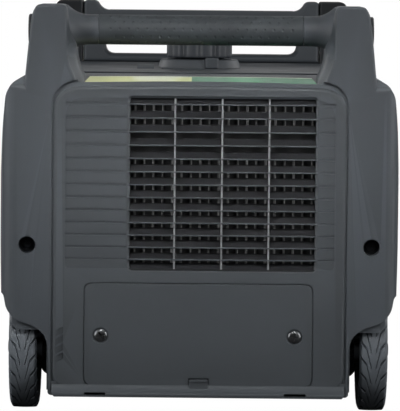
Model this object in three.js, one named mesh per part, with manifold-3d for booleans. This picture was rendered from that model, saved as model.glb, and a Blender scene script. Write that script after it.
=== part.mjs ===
// A wheeled inverter generator: two bulging side covers with carrying towers, a louvred end panel,
// a control panel at the other end, and the engine, alternator and tank inside.
// Millimetres, +Z up. The louvred end faces -Y and the control panel faces +Y. The heights below are
// from a datum RIDE above the ground, and piece() lifts every mesh by RIDE.
import * as THREE from "three";
import { mergeVertices } from "three/addons/utils/BufferGeometryUtils.js";
import Module from "manifold-3d";

const wasm = await Module();
wasm.setup();

// ---- driving dimensions -------------------------------------------------------------------------
const RIDE = 9; // height of the datum above the ground
const WALL = 3; // moulded shell thickness
const GAP = 0.4; // between pieces that touch
const SEAM = 1.6; // visible groove between two covers
const END_Y = 292; // end faces of the side covers
const BASE_Y = 300; // ends of the base pan
const BULGE_X = 225; // widest point of the side covers
const OPEN_X = 167.3; // inner edge of the side covers' end walls
const PANEL_X = OPEN_X - SEAM; // half width of the end panels
const DECK_Z = 377.5; // top of the top cover
const TOWER_Z = 456; // top of the carrying towers
const TOWER_DEEP = 70; // length of a tower along Y
const WHEEL = { radius: 70, inner: 183, outer: 215 };
const AXLE = { y: -216, z: WHEEL.radius - RIDE, radius: 7 };
const WELL = { radius: 77, inner: 171.5 };
const BAR = { z: 427.5, radius: 17, core: 13 }; // fixed carrying bar between the near towers
const RAIL = { x: 180, z: 345, rod: 7, bore: 7.5, tube: 10 }; // rails of the pull-out handle
const LOUVRE = { left: -79, right: 130.5, bottom: 157, top: 350 };
const SLAT = { count: 13, first: 168.4, last: 343.5, thick: 2, widening: 0.088 };
const SERVICE = { left: -131, right: 127, bottom: 27, top: 143 };
const CRANK = { y: 20, z: 150, radius: 10 };
const CONTROL_Y = 268; // face of the control panel
const CAP = { x: -2, y: 0 }; // centre of the fuel filler

// ---- colours ------------------------------------------------------------------------------------
const PAINT = {
  charcoal: finish(0x45494d, 0.6, 0),
  panel: finish(0x484c4f, 0.6, 0),
  black: finish(0x16191c, 0.55, 0),
  rubber: finish(0x1a1b1d, 0.9, 0),
  steel: finish(0xa9acae, 0.35, 0.9),
  dark_steel: finish(0x3c3e40, 0.5, 0.7),
  aluminium: finish(0xb4b7b9, 0.45, 0.8),
  label: finish(0x9dbb86, 0.5, 0),
  red: finish(0xb3261e, 0.45, 0),
  glass: finish(0x20282c, 0.15, 0),
};

function finish(color, roughness, metalness) {
  return new THREE.MeshStandardMaterial({ color, roughness, metalness });
}

// ---- solids -------------------------------------------------------------------------------------
// A closed geometry, or a solid that is already one, as a manifold-3d solid.
function solid(shape) {
  if (!shape.isBufferGeometry) return shape;
  const bare = shape.index ? shape.toNonIndexed() : shape.clone();
  bare.deleteAttribute("normal");
  bare.deleteAttribute("uv");
  const merged = mergeVertices(bare, 1e-4);
  const triVerts = new Uint32Array(merged.index.array);
  const vertProperties = merged.attributes.position.array;
  return new wasm.Manifold(new wasm.Mesh({ numProp: 3, vertProperties, triVerts }));
}

function join(...shapes) {
  return shapes.map(solid).reduce((sum, next) => sum.add(next));
}

function cut(shape, ...tools) {
  return tools.map(solid).reduce((rest, tool) => rest.subtract(tool), solid(shape));
}

function common(...shapes) {
  return shapes.map(solid).reduce((rest, next) => rest.intersect(next));
}

function geometryOf(shape) {
  const mesh = shape.getMesh();
  const positions = new Float32Array(mesh.numVert * 3);
  for (let i = 0; i < mesh.numVert; i++) {
    const start = i * mesh.numProp;
    positions.set(mesh.vertProperties.subarray(start, start + 3), i * 3);
  }
  const geometry = new THREE.BufferGeometry();
  geometry.setAttribute("position", new THREE.BufferAttribute(positions, 3));
  geometry.setIndex(new THREE.BufferAttribute(new Uint32Array(mesh.triVerts), 1));
  geometry.computeVertexNormals();
  return geometry;
}

const generator = new THREE.Group();

function piece(name, shape, material) {
  const mesh = new THREE.Mesh(geometryOf(solid(shape)), material);
  mesh.name = name;
  mesh.position.z = RIDE;
  generator.add(mesh);
}

// The biggest body of a solid: drops the slivers that two nearly equal surfaces leave.
function biggest(shape) {
  return shape.decompose().reduce((a, b) => (b.volume() > a.volume() ? b : a));
}

function box(x0, x1, y0, y1, z0, z1) {
  const block = new THREE.BoxGeometry(x1 - x0, y1 - y0, z1 - z0);
  return block.translate((x0 + x1) / 2, (y0 + y1) / 2, (z0 + z1) / 2);
}

// The same box on the left (side -1) or on the right (side 1), given by its distances from x = 0.
function sideBox(side, u0, u1, y0, y1, z0, z1) {
  return side > 0 ? box(u0, u1, y0, y1, z0, z1) : box(-u1, -u0, y0, y1, z0, z1);
}

// An outline from corners [a, b, r]: r is how far the rounding reaches along both edges.
function outline(corners) {
  const shape = new THREE.Shape();
  const at = (i) => new THREE.Vector2(...corners[(i + corners.length) % corners.length]);
  corners.forEach(([a, b, r = 0], i) => {
    const here = new THREE.Vector2(a, b);
    const before = at(i - 1).sub(here).setLength(r).add(here);
    const after = at(i + 1).sub(here).setLength(r).add(here);
    if (i === 0) shape.moveTo(before.x, before.y);
    else shape.lineTo(before.x, before.y);
    if (r > 0) shape.quadraticCurveTo(a, b, after.x, after.y);
  });
  shape.closePath();
  return shape;
}

function rectangle(a0, a1, b0, b1, r = 0) {
  return outline([[a0, b0, r], [a1, b0, r], [a1, b1, r], [a0, b1, r]]);
}

// A prism along X, Y or Z. Its outline lies in (y, z), (x, z) or (x, y).
function prism(shape, axis, from, to, curveSegments = 3) {
  const settings = { depth: to - from, bevelEnabled: false, curveSegments };
  const body = new THREE.ExtrudeGeometry(shape, settings);
  if (axis === "Y") return body.rotateX(Math.PI / 2).translate(0, to, 0);
  if (axis === "X") return body.rotateY(Math.PI / 2).rotateX(Math.PI / 2).translate(from, 0, 0);
  return body.translate(0, 0, from);
}

// A turned piece: profile points [radius, distance along the axis], placed by the axis' other two
// coordinates, which are (y, z) for X, (x, z) for Y and (x, y) for Z.
function turned(axis, centre, profile, segments = 24) {
  const points = profile.map(([r, t]) => new THREE.Vector2(r, t));
  const closed = profile[0][0] > 0;
  if (closed) points.push(points[0].clone());
  const body = new THREE.LatheGeometry(points, segments);
  if (axis === "X") return body.rotateZ(-Math.PI / 2).translate(0, centre[0], centre[1]);
  if (axis === "Z") return body.rotateX(Math.PI / 2).translate(centre[0], centre[1], 0);
  return body.translate(centre[0], 0, centre[1]);
}

function rod(axis, centre, radius, from, to, segments = 24) {
  return turned(axis, centre, [[0, from], [radius, from], [radius, to], [0, to]], segments);
}

function tube(axis, centre, inner, outer, from, to, segments = 24) {
  const profile = [[inner, from], [outer, from], [outer, to], [inner, to]];
  return turned(axis, centre, profile, segments);
}

// Moves an outline's corners inwards by a distance; corners run anticlockwise.
function inset(corners, distance) {
  return corners.map(([a, b, r = 0], i) => {
    const here = new THREE.Vector2(a, b);
    const before = new THREE.Vector2(...corners[(i + corners.length - 1) % corners.length]);
    const after = new THREE.Vector2(...corners[(i + 1) % corners.length]);
    const along = here.clone().sub(before).normalize();
    const onward = after.sub(here).normalize();
    const normal = new THREE.Vector2(-along.y, along.x);
    const turn = new THREE.Vector2(-onward.y, onward.x);
    const bisector = normal.clone().add(turn).normalize();
    const moved = here.addScaledVector(bisector, distance / bisector.dot(normal));
    return [moved.x, moved.y, Math.max(r - distance, 0)];
  });
}

// Left pieces mirror the right ones: corners given for the right side, anticlockwise.
function onSide(side, corners) {
  if (side > 0) return corners;
  return corners.map(([u, z, r]) => [-u, z, r]).reverse();
}

// ---- side covers --------------------------------------------------------------------------------
// Section across the body: a bulging side, a shoulder, and a shelf that carries the top cover.
const HULL = [
  [OPEN_X, 20],
  [180, 20, 4],
  [190, 34, 4],
  [206, 34, 6],
  [BULGE_X - 4, 66, 10],
  [BULGE_X - 1.5, 118],
  [BULGE_X, 190],
  [BULGE_X, 260],
  [BULGE_X - 2, 317],
  [219.5, 355, 5],
  [212, 368, 4],
  [199, 374.5],
  [OPEN_X, 376],
];
const END_TOP = { z: 362, run: 14, rise: 18 }; // the shoulder slopes down to the end faces
// Face of a near tower: wide at the shoulder, narrower at its flat top, flared at its inner foot.
const TOWER = [
  [140, 330],
  [198.5, 330],
  [198.5, 366],
  [194, 412, 12],
  [189.5, 447, 6],
  [184, TOWER_Z, 4],
  [150, TOWER_Z, 6],
  [149, 392, 8],
  [140, 372, 4],
];
const TOWER_SLANT = 9.5; // how much further in a tower reaches behind its face
const NOTCH = { y: 224, z: 331, outer: 199.5 }; // seat of the pull-out handle's towers
const POCKET = { y0: -25, y1: 65, z0: 212, z1: 248, floor: 203 }; // recoil handle's pocket
const DOOR = { y0: -60, y1: 90, z0: 150, z1: 300 }; // service door in the right cover
const BOLT_HOLE = { x: 194.5, z: 185, radius: 9.5 };

function plan(side, grow) {
  const end = END_Y - grow;
  const round = 18 - grow;
  const corners = [
    [100, -end],
    [BULGE_X - grow, -end, round],
    [BULGE_X - grow, end, round],
    [100, end],
  ];
  return prism(outline(onSide(side, corners)), "Z", 0, TOWER_Z);
}

function endSlopes(grow) {
  const end = END_Y - grow;
  const low = END_TOP.z - grow;
  const crest = [end - END_TOP.run, low + END_TOP.rise];
  const corners = [[-end, 0], [end, 0], [end, low], crest, [-crest[0], crest[1]], [-end, low]];
  return prism(outline(corners), "X", -BULGE_X - 1, BULGE_X + 1);
}

function hull(side, grow) {
  const section = outline(onSide(side, inset(HULL, grow)));
  return common(prism(section, "Y", grow - END_Y, END_Y - grow), plan(side, grow), endSlopes(grow));
}

function nearTower(side, grow) {
  const y0 = grow - END_Y;
  const y1 = TOWER_DEEP - END_Y - grow;
  const wide = inset(TOWER, grow).map(([u, z, r]) => [u < 160 ? u - TOWER_SLANT : u, z, r]);
  const block = prism(outline(onSide(side, wide)), "Y", y0, y1);
  const footprint = [
    [149 + grow, y0],
    [BULGE_X, y0, 18],
    [BULGE_X, y1],
    [149 - TOWER_SLANT + grow, y1],
    [149 - TOWER_SLANT + grow, y0 + 24, 10],
  ];
  const face = prism(outline(onSide(side, inset(TOWER, grow))), "Y", y0 - 1, y1 + 1);
  const behind = prism(outline(onSide(side, footprint)), "Z", 372, TOWER_Z + 10);
  return join(common(block, behind), common(block, face));
}

// The end wall's opening: a straight edge that sweeps in under the tower.
function openingCorner(side) {
  const corners = [
    [100, -10],
    [OPEN_X, -10],
    [OPEN_X, 372, 36],
    [100, 372],
  ];
  return prism(outline(onSide(side, corners)), "Y", -END_Y - 1, -END_Y + 6);
}

// Room for a wheel: round above the axle and open below it.
function wheelWell(side, radius, u0) {
  const ends = side > 0 ? [u0, BULGE_X + 5] : [-BULGE_X - 5, -u0];
  const round = rod("X", [AXLE.y, AXLE.z], radius, ...ends, 30);
  return join(round, sideBox(side, u0, BULGE_X + 5, AXLE.y - radius, AXLE.y + radius, -10, AXLE.z));
}

// The arch in front of the wheel: through the end wall, and at its outer corner back into the well.
function faceArch(side) {
  const arch = [[201, 97.5, 4], [187, 93, 4], [179, 87, 4], [172.5, 80, 4], [170.5, 66]];
  const corner = [[240, 140], [221, 128], [218, 112, 5], [209, 101, 3]];
  const through = [[170.5, -10], [240, -10], ...corner, ...arch];
  const outer = [[206, -10], [240, -10], ...corner, [206, 99.5]];
  return join(
    prism(outline(onSide(side, through)), "Y", -END_Y - 1, -END_Y + WALL + 1),
    prism(outline(onSide(side, outer)), "Y", -END_Y - 1, -255),
  );
}

function shell(side) {
  const hollow = join(hull(side, WALL), sideBox(side, 100, 180, WALL - END_Y, END_Y - WALL, 23, 370));
  return cut(hull(side, 0), hollow);
}

// A walled recess sunk into the side or the end of a cover.
function sunk(side, cover, u0, u1, y0, y1, z0, z1) {
  const walls = sideBox(side, u0 - WALL, u1, y0 - WALL, y1 + WALL, z0 - WALL, z1 + WALL);
  const lined = join(cover, common(hull(side, 0), walls));
  return cut(lined, sideBox(side, u0, u1 + 1, y0, y1, z0, z1));
}

function sideVents(side) {
  const slots = [];
  for (let z = 96; z < 170; z += 16) slots.push(sideBox(side, 205, 230, 140, 240, z, z + 6));
  return slots;
}

function sideCover(side) {
  let cover = join(shell(side), nearTower(side, 0));
  cover = cut(cover, nearTower(side, WALL), sideBox(side, 155, 185, -286, -228, 320, 380));
  cover = cut(cover, openingCorner(side));
  const arch = common(hull(side, 0), wheelWell(side, WELL.radius + WALL, WELL.inner - WALL));
  const recessFloor = sideBox(side, 139.5, 170, -286, -283, 330, 371);
  const boltTube = rod("Y", [side * BOLT_HOLE.x, BOLT_HOLE.z], BOLT_HOLE.radius + 2, -END_Y, -270, 14);
  const notchWalls = sideBox(side, 150, 202.5, NOTCH.y - WALL, END_Y, NOTCH.z - WALL, 380);
  cover = join(cover, arch, recessFloor, boltTube, common(hull(side, 0), notchWalls));
  cover = cut(
    cover,
    wheelWell(side, WELL.radius, WELL.inner),
    faceArch(side),
    sideBox(side, 100, NOTCH.outer, NOTCH.y, END_Y + 1, NOTCH.z, 400),
    rod("X", [AXLE.y, AXLE.z], AXLE.radius + GAP, -BULGE_X, BULGE_X),
    rod("Y", [side * BOLT_HOLE.x, BOLT_HOLE.z], BOLT_HOLE.radius, -END_Y - 1, -260, 14),
    rod("Y", [side * RAIL.x, RAIL.z], RAIL.bore, NOTCH.y - 10, NOTCH.y + 10),
    rod("X", [-257, BAR.z], BAR.radius + GAP, -BULGE_X, BULGE_X),
    ...sideVents(side),
  );
  if (side > 0) return biggest(cut(cover, doorBlock(SEAM)));
  cover = sunk(side, cover, POCKET.floor, BULGE_X, POCKET.y0, POCKET.y1, POCKET.z0, POCKET.z1);
  return biggest(cut(cover, rod("X", [CRANK.y, 230], 4, -BULGE_X, -190)));
}

function doorBlock(grow) {
  const { y0, y1, z0, z1 } = DOOR;
  return sideBox(1, 205, 230, y0 - grow, y1 + grow, z0 - grow, z1 + grow);
}

piece("side_cover_left", sideCover(-1), PAINT.charcoal);
piece("side_cover_right", sideCover(1), PAINT.charcoal);
const KNOB = { y: 78, z: 225, radius: 9 };
const door = cut(common(shell(1), doorBlock(0)), rod("X", [KNOB.y, KNOB.z], KNOB.radius + GAP, 200, 230));
piece("service_door", door, PAINT.charcoal);
const knob = join(
  rod("X", [KNOB.y, KNOB.z], KNOB.radius, 217, 224, 20),
  box(224, 224.9, KNOB.y - 6, KNOB.y + 6, KNOB.z - 1.5, KNOB.z + 1.5),
  box(217, 219, KNOB.y - 1, KNOB.y + 11, KNOB.z - 3, KNOB.z + 3),
);
piece("service_door_knob", knob, PAINT.black);

// ---- louvred end --------------------------------------------------------------------------------
const FACE_Y = -END_Y; // outer face of the end panel
const LEDGE = 6; // rim behind the service cover
const SCREWS = [-112, 107];
const SCREW_Z = 82;
const LATCH = { left: -14, right: 7, bottom: 20, top: 33 };
const GROOVE = 1.4; // depth of the blind louvre lines
const BAR_X = [-28.3, 24.9, 78]; // upright bars of the grille

// From the lowest slat to the highest: each gap is a little wider than the one below it.
function slatHeights() {
  const steps = SLAT.count - 1;
  const pitch = (SLAT.last - SLAT.first) / steps;
  const height = (i) => SLAT.first + i * pitch - SLAT.widening * i * (steps - i);
  return Array.from({ length: SLAT.count }, (_, i) => height(i));
}

function serviceOpening(grow, y0, y1) {
  const { left, right, bottom, top } = SERVICE;
  const shape = rectangle(left - grow, right + grow, bottom - grow, top + grow, 7);
  return prism(shape, "Y", y0, y1);
}

function louvreOpening(grow, y0, y1) {
  const { left, right, bottom, top } = LOUVRE;
  const shape = rectangle(left - grow, right + grow, bottom - grow, top + grow, 4);
  return prism(shape, "Y", y0, y1);
}

function rearPanel() {
  const corners = [
    [-PANEL_X, 21.5, 20],
    [PANEL_X, 21.5, 20],
    [PANEL_X, 364, 31],
    [0, 367.5, 90],
    [-PANEL_X, 364, 31],
  ];
  const plate = prism(outline(corners), "Y", FACE_Y, FACE_Y + WALL);
  const ledge = serviceOpening(LEDGE, FACE_Y + WALL, FACE_Y + 2 * WALL);
  const grooves = slatHeights().flatMap((z) => [
    box(-152, LOUVRE.left - 3, FACE_Y - 1, FACE_Y + GROOVE, z - 1.6, z + 1.6),
    box(LOUVRE.right + 3, 153, FACE_Y - 1, FACE_Y + GROOVE, z - 1.6, z + 1.6),
  ]);
  const vents = [0, 1, 2, 3].map((i) =>
    box(-164, -156, FACE_Y - 1, FACE_Y + GROOVE, 54 + i * 11, 57 + i * 11),
  );
  const screwHoles = SCREWS.map((x) => rod("Y", [x, SCREW_Z], 3, FACE_Y - 1, -270, 12));
  const bosses = SCREWS.map((x) => {
    const edge = x < 0 ? [SERVICE.left - 4, x + 12] : [x - 12, SERVICE.right + 4];
    return box(...edge, FACE_Y + WALL, FACE_Y + 2 * WALL, SCREW_Z - 12, SCREW_Z + 12);
  });
  const frame = cut(
    join(plate, ledge),
    serviceOpening(SEAM - 0.4, FACE_Y - 1, FACE_Y + WALL),
    serviceOpening(-LEDGE, FACE_Y, FACE_Y + 3 * WALL),
    louvreOpening(0, FACE_Y - 1, FACE_Y + 3 * WALL),
  );
  return cut(join(frame, ...bosses), ...screwHoles, ...grooves, ...vents);
}

function louvreGrille() {
  const front = FACE_Y + 0.6;
  const back = FACE_Y + 2 * WALL + 3;
  const ring = cut(
    louvreOpening(5, FACE_Y + WALL + GAP, back),
    louvreOpening(-1, FACE_Y, back + 1),
  );
  const slats = slatHeights().map((z) =>
    box(LOUVRE.left + 0.5, LOUVRE.right - 0.5, front, back, z - SLAT.thick / 2, z + SLAT.thick / 2),
  );
  const bars = BAR_X.map((x) =>
    box(x - 1, x + 1, front, back - 3, LOUVRE.bottom + 0.5, LOUVRE.top - 0.5),
  );
  return join(ring, ...slats, ...bars);
}

function innerGuard() {
  const plate = box(LOUVRE.left - 10, LOUVRE.right + 7, -279, -276.5, 146, 358);
  const slots = [];
  for (let x = LOUVRE.left; x < LOUVRE.right; x += 21.2) {
    slots.push(box(x, x + 14, -280, -275, 156, 288), box(x, x + 14, -280, -275, 324, 348));
  }
  return cut(plate, ...slots);
}

function serviceCover() {
  const cover = serviceOpening(-GAP, FACE_Y, FACE_Y + WALL - GAP);
  const wells = SCREWS.map((x) => rod("Y", [x, SCREW_Z], 9.3, FACE_Y - 1, FACE_Y + 1.5, 24));
  const holes = SCREWS.map((x) => rod("Y", [x, SCREW_Z], 3, FACE_Y - 1, FACE_Y + 5, 12));
  return cut(cover, ...wells, ...holes);
}

function coverScrew(x) {
  const head = [[0, -292.3], [4.5, -292.3], [7.5, -291.2], [7.5, -290.8], [2.4, -290.8], [2.4, -274]];
  const screw = turned("Y", [x, SCREW_Z], [...head, [0, -274]], 16);
  return cut(screw, box(x - 4, x + 4, -293, -291.4, SCREW_Z - 0.8, SCREW_Z + 0.8));
}

piece("rear_end_panel", rearPanel(), PAINT.panel);
piece("louvre_grille", louvreGrille(), PAINT.panel);
piece("inner_guard", innerGuard(), PAINT.dark_steel);
piece("service_cover", serviceCover(), PAINT.panel);
piece("service_cover_screw_left", coverScrew(SCREWS[0]), PAINT.steel);
piece("service_cover_screw_right", coverScrew(SCREWS[1]), PAINT.steel);
const latchShape = rectangle(LATCH.left, LATCH.right, LATCH.bottom, LATCH.top, 1.5);
piece("service_cover_latch", prism(latchShape, "Y", FACE_Y - 2.4, FACE_Y - GAP), PAINT.black);

// ---- base ---------------------------------------------------------------------------------------
const BASE = { z0: 12, z1: 60, x: 165.6 };

function basePan() {
  const tray = rectangle(-BASE.x, BASE.x, -BASE_Y, BASE_Y, 12);
  const room = rectangle(WALL - BASE.x, BASE.x - WALL, 5 - BASE_Y, BASE_Y - 5, 9);
  const walls = cut(prism(tray, "Z", BASE.z0, BASE.z1), prism(room, "Z", BASE.z0 + WALL, 80));
  const rearGap = box(-180, 180, -310, -286, 21, 80);
  const frontGap = box(-180, 180, 286, 310, 21, 80);
  const bearing = (side) => sideBox(side, 150, BASE.x - 1, AXLE.y - 16, AXLE.y + 16, BASE.z0, 86);
  const drains = [[-129, -104], [97, 122]].map(([x0, x1]) => box(x0, x1, -310, -280, 14.5, 17.5));
  const axleHole = rod("X", [AXLE.y, AXLE.z], AXLE.radius + GAP, -200, 200);
  const open = cut(walls, rearGap, frontGap);
  return cut(join(open, bearing(-1), bearing(1)), axleHole, ...drains);
}

piece("base_pan", basePan(), PAINT.black);
for (const [name, x] of [["front_foot_left", -120], ["front_foot_right", 120]]) {
  const profile = [[0, -RIDE], [20, -RIDE], [17, BASE.z0 - GAP], [0, BASE.z0 - GAP]];
  piece(name, turned("Z", [x, 250], profile, 20), PAINT.rubber);
}

// ---- top cover and carrying handles -------------------------------------------------------------
const DECK = { x: OPEN_X - GAP, frontY: -288.4, frontZ: 366.5, crestY: -245, crestZ: 375 };
const NECK = { hole: 36, bore: 22.6, outer: 27, collar: 50 };
const FRONT_BAR = { y: 248, z: 429, radius: 15, core: 12, half: 128 };

function topCover() {
  const { frontY, frontZ, crestY, crestZ } = DECK;
  const top = [[frontY, frontZ], [crestY, crestZ], [-200, DECK_Z], [288, DECK_Z]];
  const under = [[288, DECK_Z - WALL], [-200, DECK_Z - WALL], [crestY, crestZ - WALL]];
  const lip = [[frontY + WALL, frontZ - WALL], [frontY + WALL, 358], [frontY, 358]];
  const sheet = prism(outline([...top, ...under, ...lip].reverse()), "X", -DECK.x, DECK.x);
  const sides = [-1, 1].flatMap((side) => [
    sideBox(side, 139, 170, -300, TOWER_DEEP - END_Y + GAP, 340, 380),
    sideBox(side, 151.2, 170, NOTCH.y - GAP, 300, 340, 380),
  ]);
  return cut(sheet, ...sides, rod("Z", [CAP.x, CAP.y], NECK.hole, 350, 390, 28));
}

function topLabel() {
  const { frontY, frontZ, crestY, crestZ } = DECK;
  const rise = (crestZ - frontZ) / (crestY - frontY);
  const y0 = frontY + 1.5;
  const y1 = crestY - 1;
  const z = (y, lift) => frontZ + (y - frontY) * rise + lift;
  const slope = outline([[y0, z(y0, 0.3)], [y1, z(y1, 0.3)], [y1, z(y1, 0.9)], [y0, z(y0, 0.9)]]);
  const ends = outline([[-134, y0 - 1], [134, y0 - 1], [126, y1 + 1], [-126, y1 + 1]]);
  return common(prism(slope, "X", -140, 140), prism(ends, "Z", 340, 390));
}

// A grip sleeve or a bar along X about the line (y, z).
function sleeve(y, z, inner, outer, half, segments = 20) {
  const round = 2;
  const profile = [
    [inner, -half],
    [outer - round, -half],
    [outer, round - half],
    [outer, half - round],
    [outer - round, half],
    [inner, half],
  ];
  return turned("X", [y, z], profile, segments);
}

function rearBar() {
  const { radius, core } = BAR;
  const half = [[core, 116], [radius, 116], [radius, 128], [radius + 2.5, 134], [radius + 7, 138.6]];
  const end = [[radius, 138.6], [radius, 183], [0, 183]];
  const right = [...half, ...end];
  const left = right.map(([r, t]) => [r, -t]).reverse();
  return turned("X", [-257, BAR.z], [...left, ...right], 16);
}

function handleCap(side) {
  const disc = join(rod("X", [0, 0], BAR.radius, 187, 195.4, 20), rod("X", [0, 0], 12, 184, 188, 12));
  const geometry = geometryOf(disc);
  if (side < 0) geometry.rotateZ(Math.PI);
  return geometry.translate(0, -257, BAR.z);
}

function frontHandle() {
  const { y, z, core, half } = FRONT_BAR;
  const loop = outline([
    [-150.6, DECK_Z + GAP],
    [150.6, DECK_Z + GAP],
    [150.6, TOWER_Z, 5],
    [131.6, TOWER_Z, 4],
    [half, 446, 4],
    [half, 388, 10],
    [-half, 388, 10],
    [-half, 446, 4],
    [-131.6, TOWER_Z, 4],
    [-150.6, TOWER_Z, 5],
  ]);
  return join(prism(loop, "Y", 226, 270), rod("X", [y, z], core, -half - 1, half + 1, 20));
}

piece("top_cover", topCover(), PAINT.charcoal);
piece("top_label", topLabel(), PAINT.label);
piece("rear_handle_bar", rearBar(), PAINT.charcoal);
piece("rear_handle_grip", sleeve(-257, BAR.z, BAR.core + 0.3, BAR.radius, 115.6), PAINT.rubber);
piece("rear_handle_cap_left", handleCap(-1), PAINT.black);
piece("rear_handle_cap_right", handleCap(1), PAINT.black);
piece("front_handle", frontHandle(), PAINT.charcoal);
const frontGrip = sleeve(FRONT_BAR.y, FRONT_BAR.z, FRONT_BAR.core + 0.3, FRONT_BAR.radius, 118);
piece("front_handle_grip", frontGrip, PAINT.rubber);

// ---- fuel filler --------------------------------------------------------------------------------
const CAP_TOP = 432;

function fuelNeck() {
  const { bore, outer, collar } = NECK;
  const z = DECK_Z + GAP;
  const profile = [
    [bore, 366],
    [outer, 366],
    [outer, 374],
    [NECK.hole - 1, 374],
    [NECK.hole - 1, z],
    [collar, z],
    [collar - 4, z + 10],
    [outer, z + 11],
    [outer, 404],
    [bore, 404],
  ];
  return turned("Z", [CAP.x, CAP.y], profile, 24);
}

function fuelCap() {
  const inside = [[0, 407], [28, 407], [28, 390]];
  const outside = [[40, 390], [40, CAP_TOP - 3], [37, CAP_TOP], [0, CAP_TOP]];
  return turned("Z", [CAP.x, CAP.y], [...inside, ...outside], 24);
}

function ventLever() {
  const disc = rod("Z", [CAP.x, CAP.y], 9, CAP_TOP + GAP, CAP_TOP + 5, 16);
  return join(disc, box(CAP.x - 3, CAP.x + 22, CAP.y - 3, CAP.y + 3, CAP_TOP + GAP, CAP_TOP + 5));
}

piece("fuel_filler_neck", fuelNeck(), PAINT.charcoal);
piece("fuel_cap", fuelCap(), PAINT.black);
piece("fuel_cap_vent_lever", ventLever(), PAINT.black);

// ---- pull-out handle ----------------------------------------------------------------------------
const PULL = { y: 283, z: 427, core: 8, grip: 11 };
const RELEASE = { x: -166, z: 420, radius: 8 };

function pullHandle() {
  const tower = (side) => {
    const corners = [
      [151.6, NOTCH.z + GAP],
      [198, NOTCH.z + GAP],
      [198, 366],
      [194, 412, 12],
      [188, 446, 6],
      [182, TOWER_Z, 5],
      [151.6, TOWER_Z, 5],
    ];
    const block = prism(outline(onSide(side, corners)), "Y", NOTCH.y + GAP, END_Y);
    const footprint = [[140, 200], [200, 200], [200, END_Y, 16], [140, END_Y]];
    return common(block, prism(outline(onSide(side, footprint)), "Z", 300, 470));
  };
  const rails = [-1, 1].map((side) => rod("Y", [side * RAIL.x, RAIL.z], RAIL.rod, -198, 240, 16));
  const bar = rod("X", [PULL.y, PULL.z], PULL.core, -160, 160, 16);
  const frame = join(tower(-1), tower(1), bar, ...rails);
  return cut(frame, rod("Y", [RELEASE.x, RELEASE.z], RELEASE.radius + GAP, 280, 300, 16));
}

function railGuide(side) {
  const guide = tube("Y", [side * RAIL.x, RAIL.z], RAIL.bore, RAIL.tube, -190, NOTCH.y - 4, 16);
  const tabs = [-150, 190].map((y) => sideBox(side, RAIL.x - 6, RAIL.x + 6, y, y + 8, 353, 368));
  return join(guide, ...tabs);
}

piece("pull_handle_frame", pullHandle(), PAINT.black);
piece("pull_handle_grip", sleeve(PULL.y, PULL.z, PULL.core + 0.3, PULL.grip, 140, 16), PAINT.rubber);
const release = rod("Y", [RELEASE.x, RELEASE.z], RELEASE.radius, 286, END_Y + 3, 16);
piece("handle_release_button", release, PAINT.red);
piece("rail_guide_left", railGuide(-1), PAINT.steel);
piece("rail_guide_right", railGuide(1), PAINT.steel);

// ---- wheels -------------------------------------------------------------------------------------
function tyre(side) {
  const { radius, inner, outer } = WHEEL;
  const profile = [
    [46, inner + 3],
    [radius - 6, inner],
    [radius, inner + 6],
    [radius, outer - 6],
    [radius - 6, outer],
    [46, outer - 3],
  ];
  return turned("X", [AXLE.y, AXLE.z], mirrored(side, profile), 28);
}

function rim(side) {
  const { inner, outer } = WHEEL;
  const bore = AXLE.radius + 0.4;
  const profile = [
    [bore, inner - 4],
    [14, inner - 4],
    [16, inner + 8],
    [40, inner + 8],
    [45.6, inner + 3],
    [45.6, outer - 3],
    [41, outer - 3],
    [39, outer - 12],
    [20, outer - 9],
    [18, outer - 1],
    [bore, outer - 1],
  ];
  return turned("X", [AXLE.y, AXLE.z], mirrored(side, profile), 20);
}

// A profile along X for the right wheel, or its mirror image for the left one.
function mirrored(side, profile) {
  return side > 0 ? profile : profile.map(([r, t]) => [r, -t]).reverse();
}

for (const [name, side] of [["left", -1], ["right", 1]]) {
  piece("tyre_" + name, tyre(side), PAINT.rubber);
  piece("wheel_rim_" + name, rim(side), PAINT.black);
}
const axleHalf = [[7, 215.6], [10, 215.6], [10, 219], [0, 219]];
const axleProfile = [...axleHalf.map(([r, x]) => [r, -x]).reverse(), ...axleHalf];
piece("axle", turned("X", [AXLE.y, AXLE.z], axleProfile, 20), PAINT.steel);

// ---- control end --------------------------------------------------------------------------------
const RECESS = { x: 140, z0: 118, z1: 342 };
const DIAL = { x: 98, z: 300 };
const START = { x: 40, z: 302 };
const ECO = { x: 0, z: 302 };
const BREAKER = { x: 30, z: 148 };
const OUTLETS = { duplex: -95, locking: 2, dc: 92, z: 222 };

function frontPanel() {
  const corners = [
    [-PANEL_X, 21.5, 20],
    [PANEL_X, 21.5, 20],
    [PANEL_X, 325, 16],
    [149, 326, 3],
    [149, 366, 4],
    [-149, 366, 4],
    [-149, 326, 3],
    [-PANEL_X, 325, 16],
  ];
  const plate = prism(outline(corners), "Y", END_Y - WALL, END_Y);
  const { x, z0, z1 } = RECESS;
  const liner = prism(rectangle(-x - WALL, x + WALL, z0 - WALL, z1 + WALL, 12), "Y", CONTROL_Y, END_Y - 1);
  const room = prism(rectangle(-x, x, z0, z1, 10), "Y", CONTROL_Y - 1, END_Y + 1);
  const slots = [0, 1, 2, 3, 4].map((i) => box(-110, 110, 285, 300, 36 + i * 14, 43 + i * 14));
  return cut(join(plate, liner), room, ...slots);
}

function controlPanel() {
  const plate = box(-RECESS.x - 2, RECESS.x + 2, CONTROL_Y - WALL - GAP, CONTROL_Y - GAP, 116, 344);
  return cut(
    plate,
    rod("Y", [DIAL.x, DIAL.z], 6, 250, 280, 12),
    rod("Y", [START.x, START.z], 9.5, 250, 280, 16),
    rod("Y", [BREAKER.x, BREAKER.z], 6.5, 250, 280, 12),
    box(ECO.x - 8.5, ECO.x + 8.5, 250, 280, ECO.z - 13, ECO.z + 13),
  );
}

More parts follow.
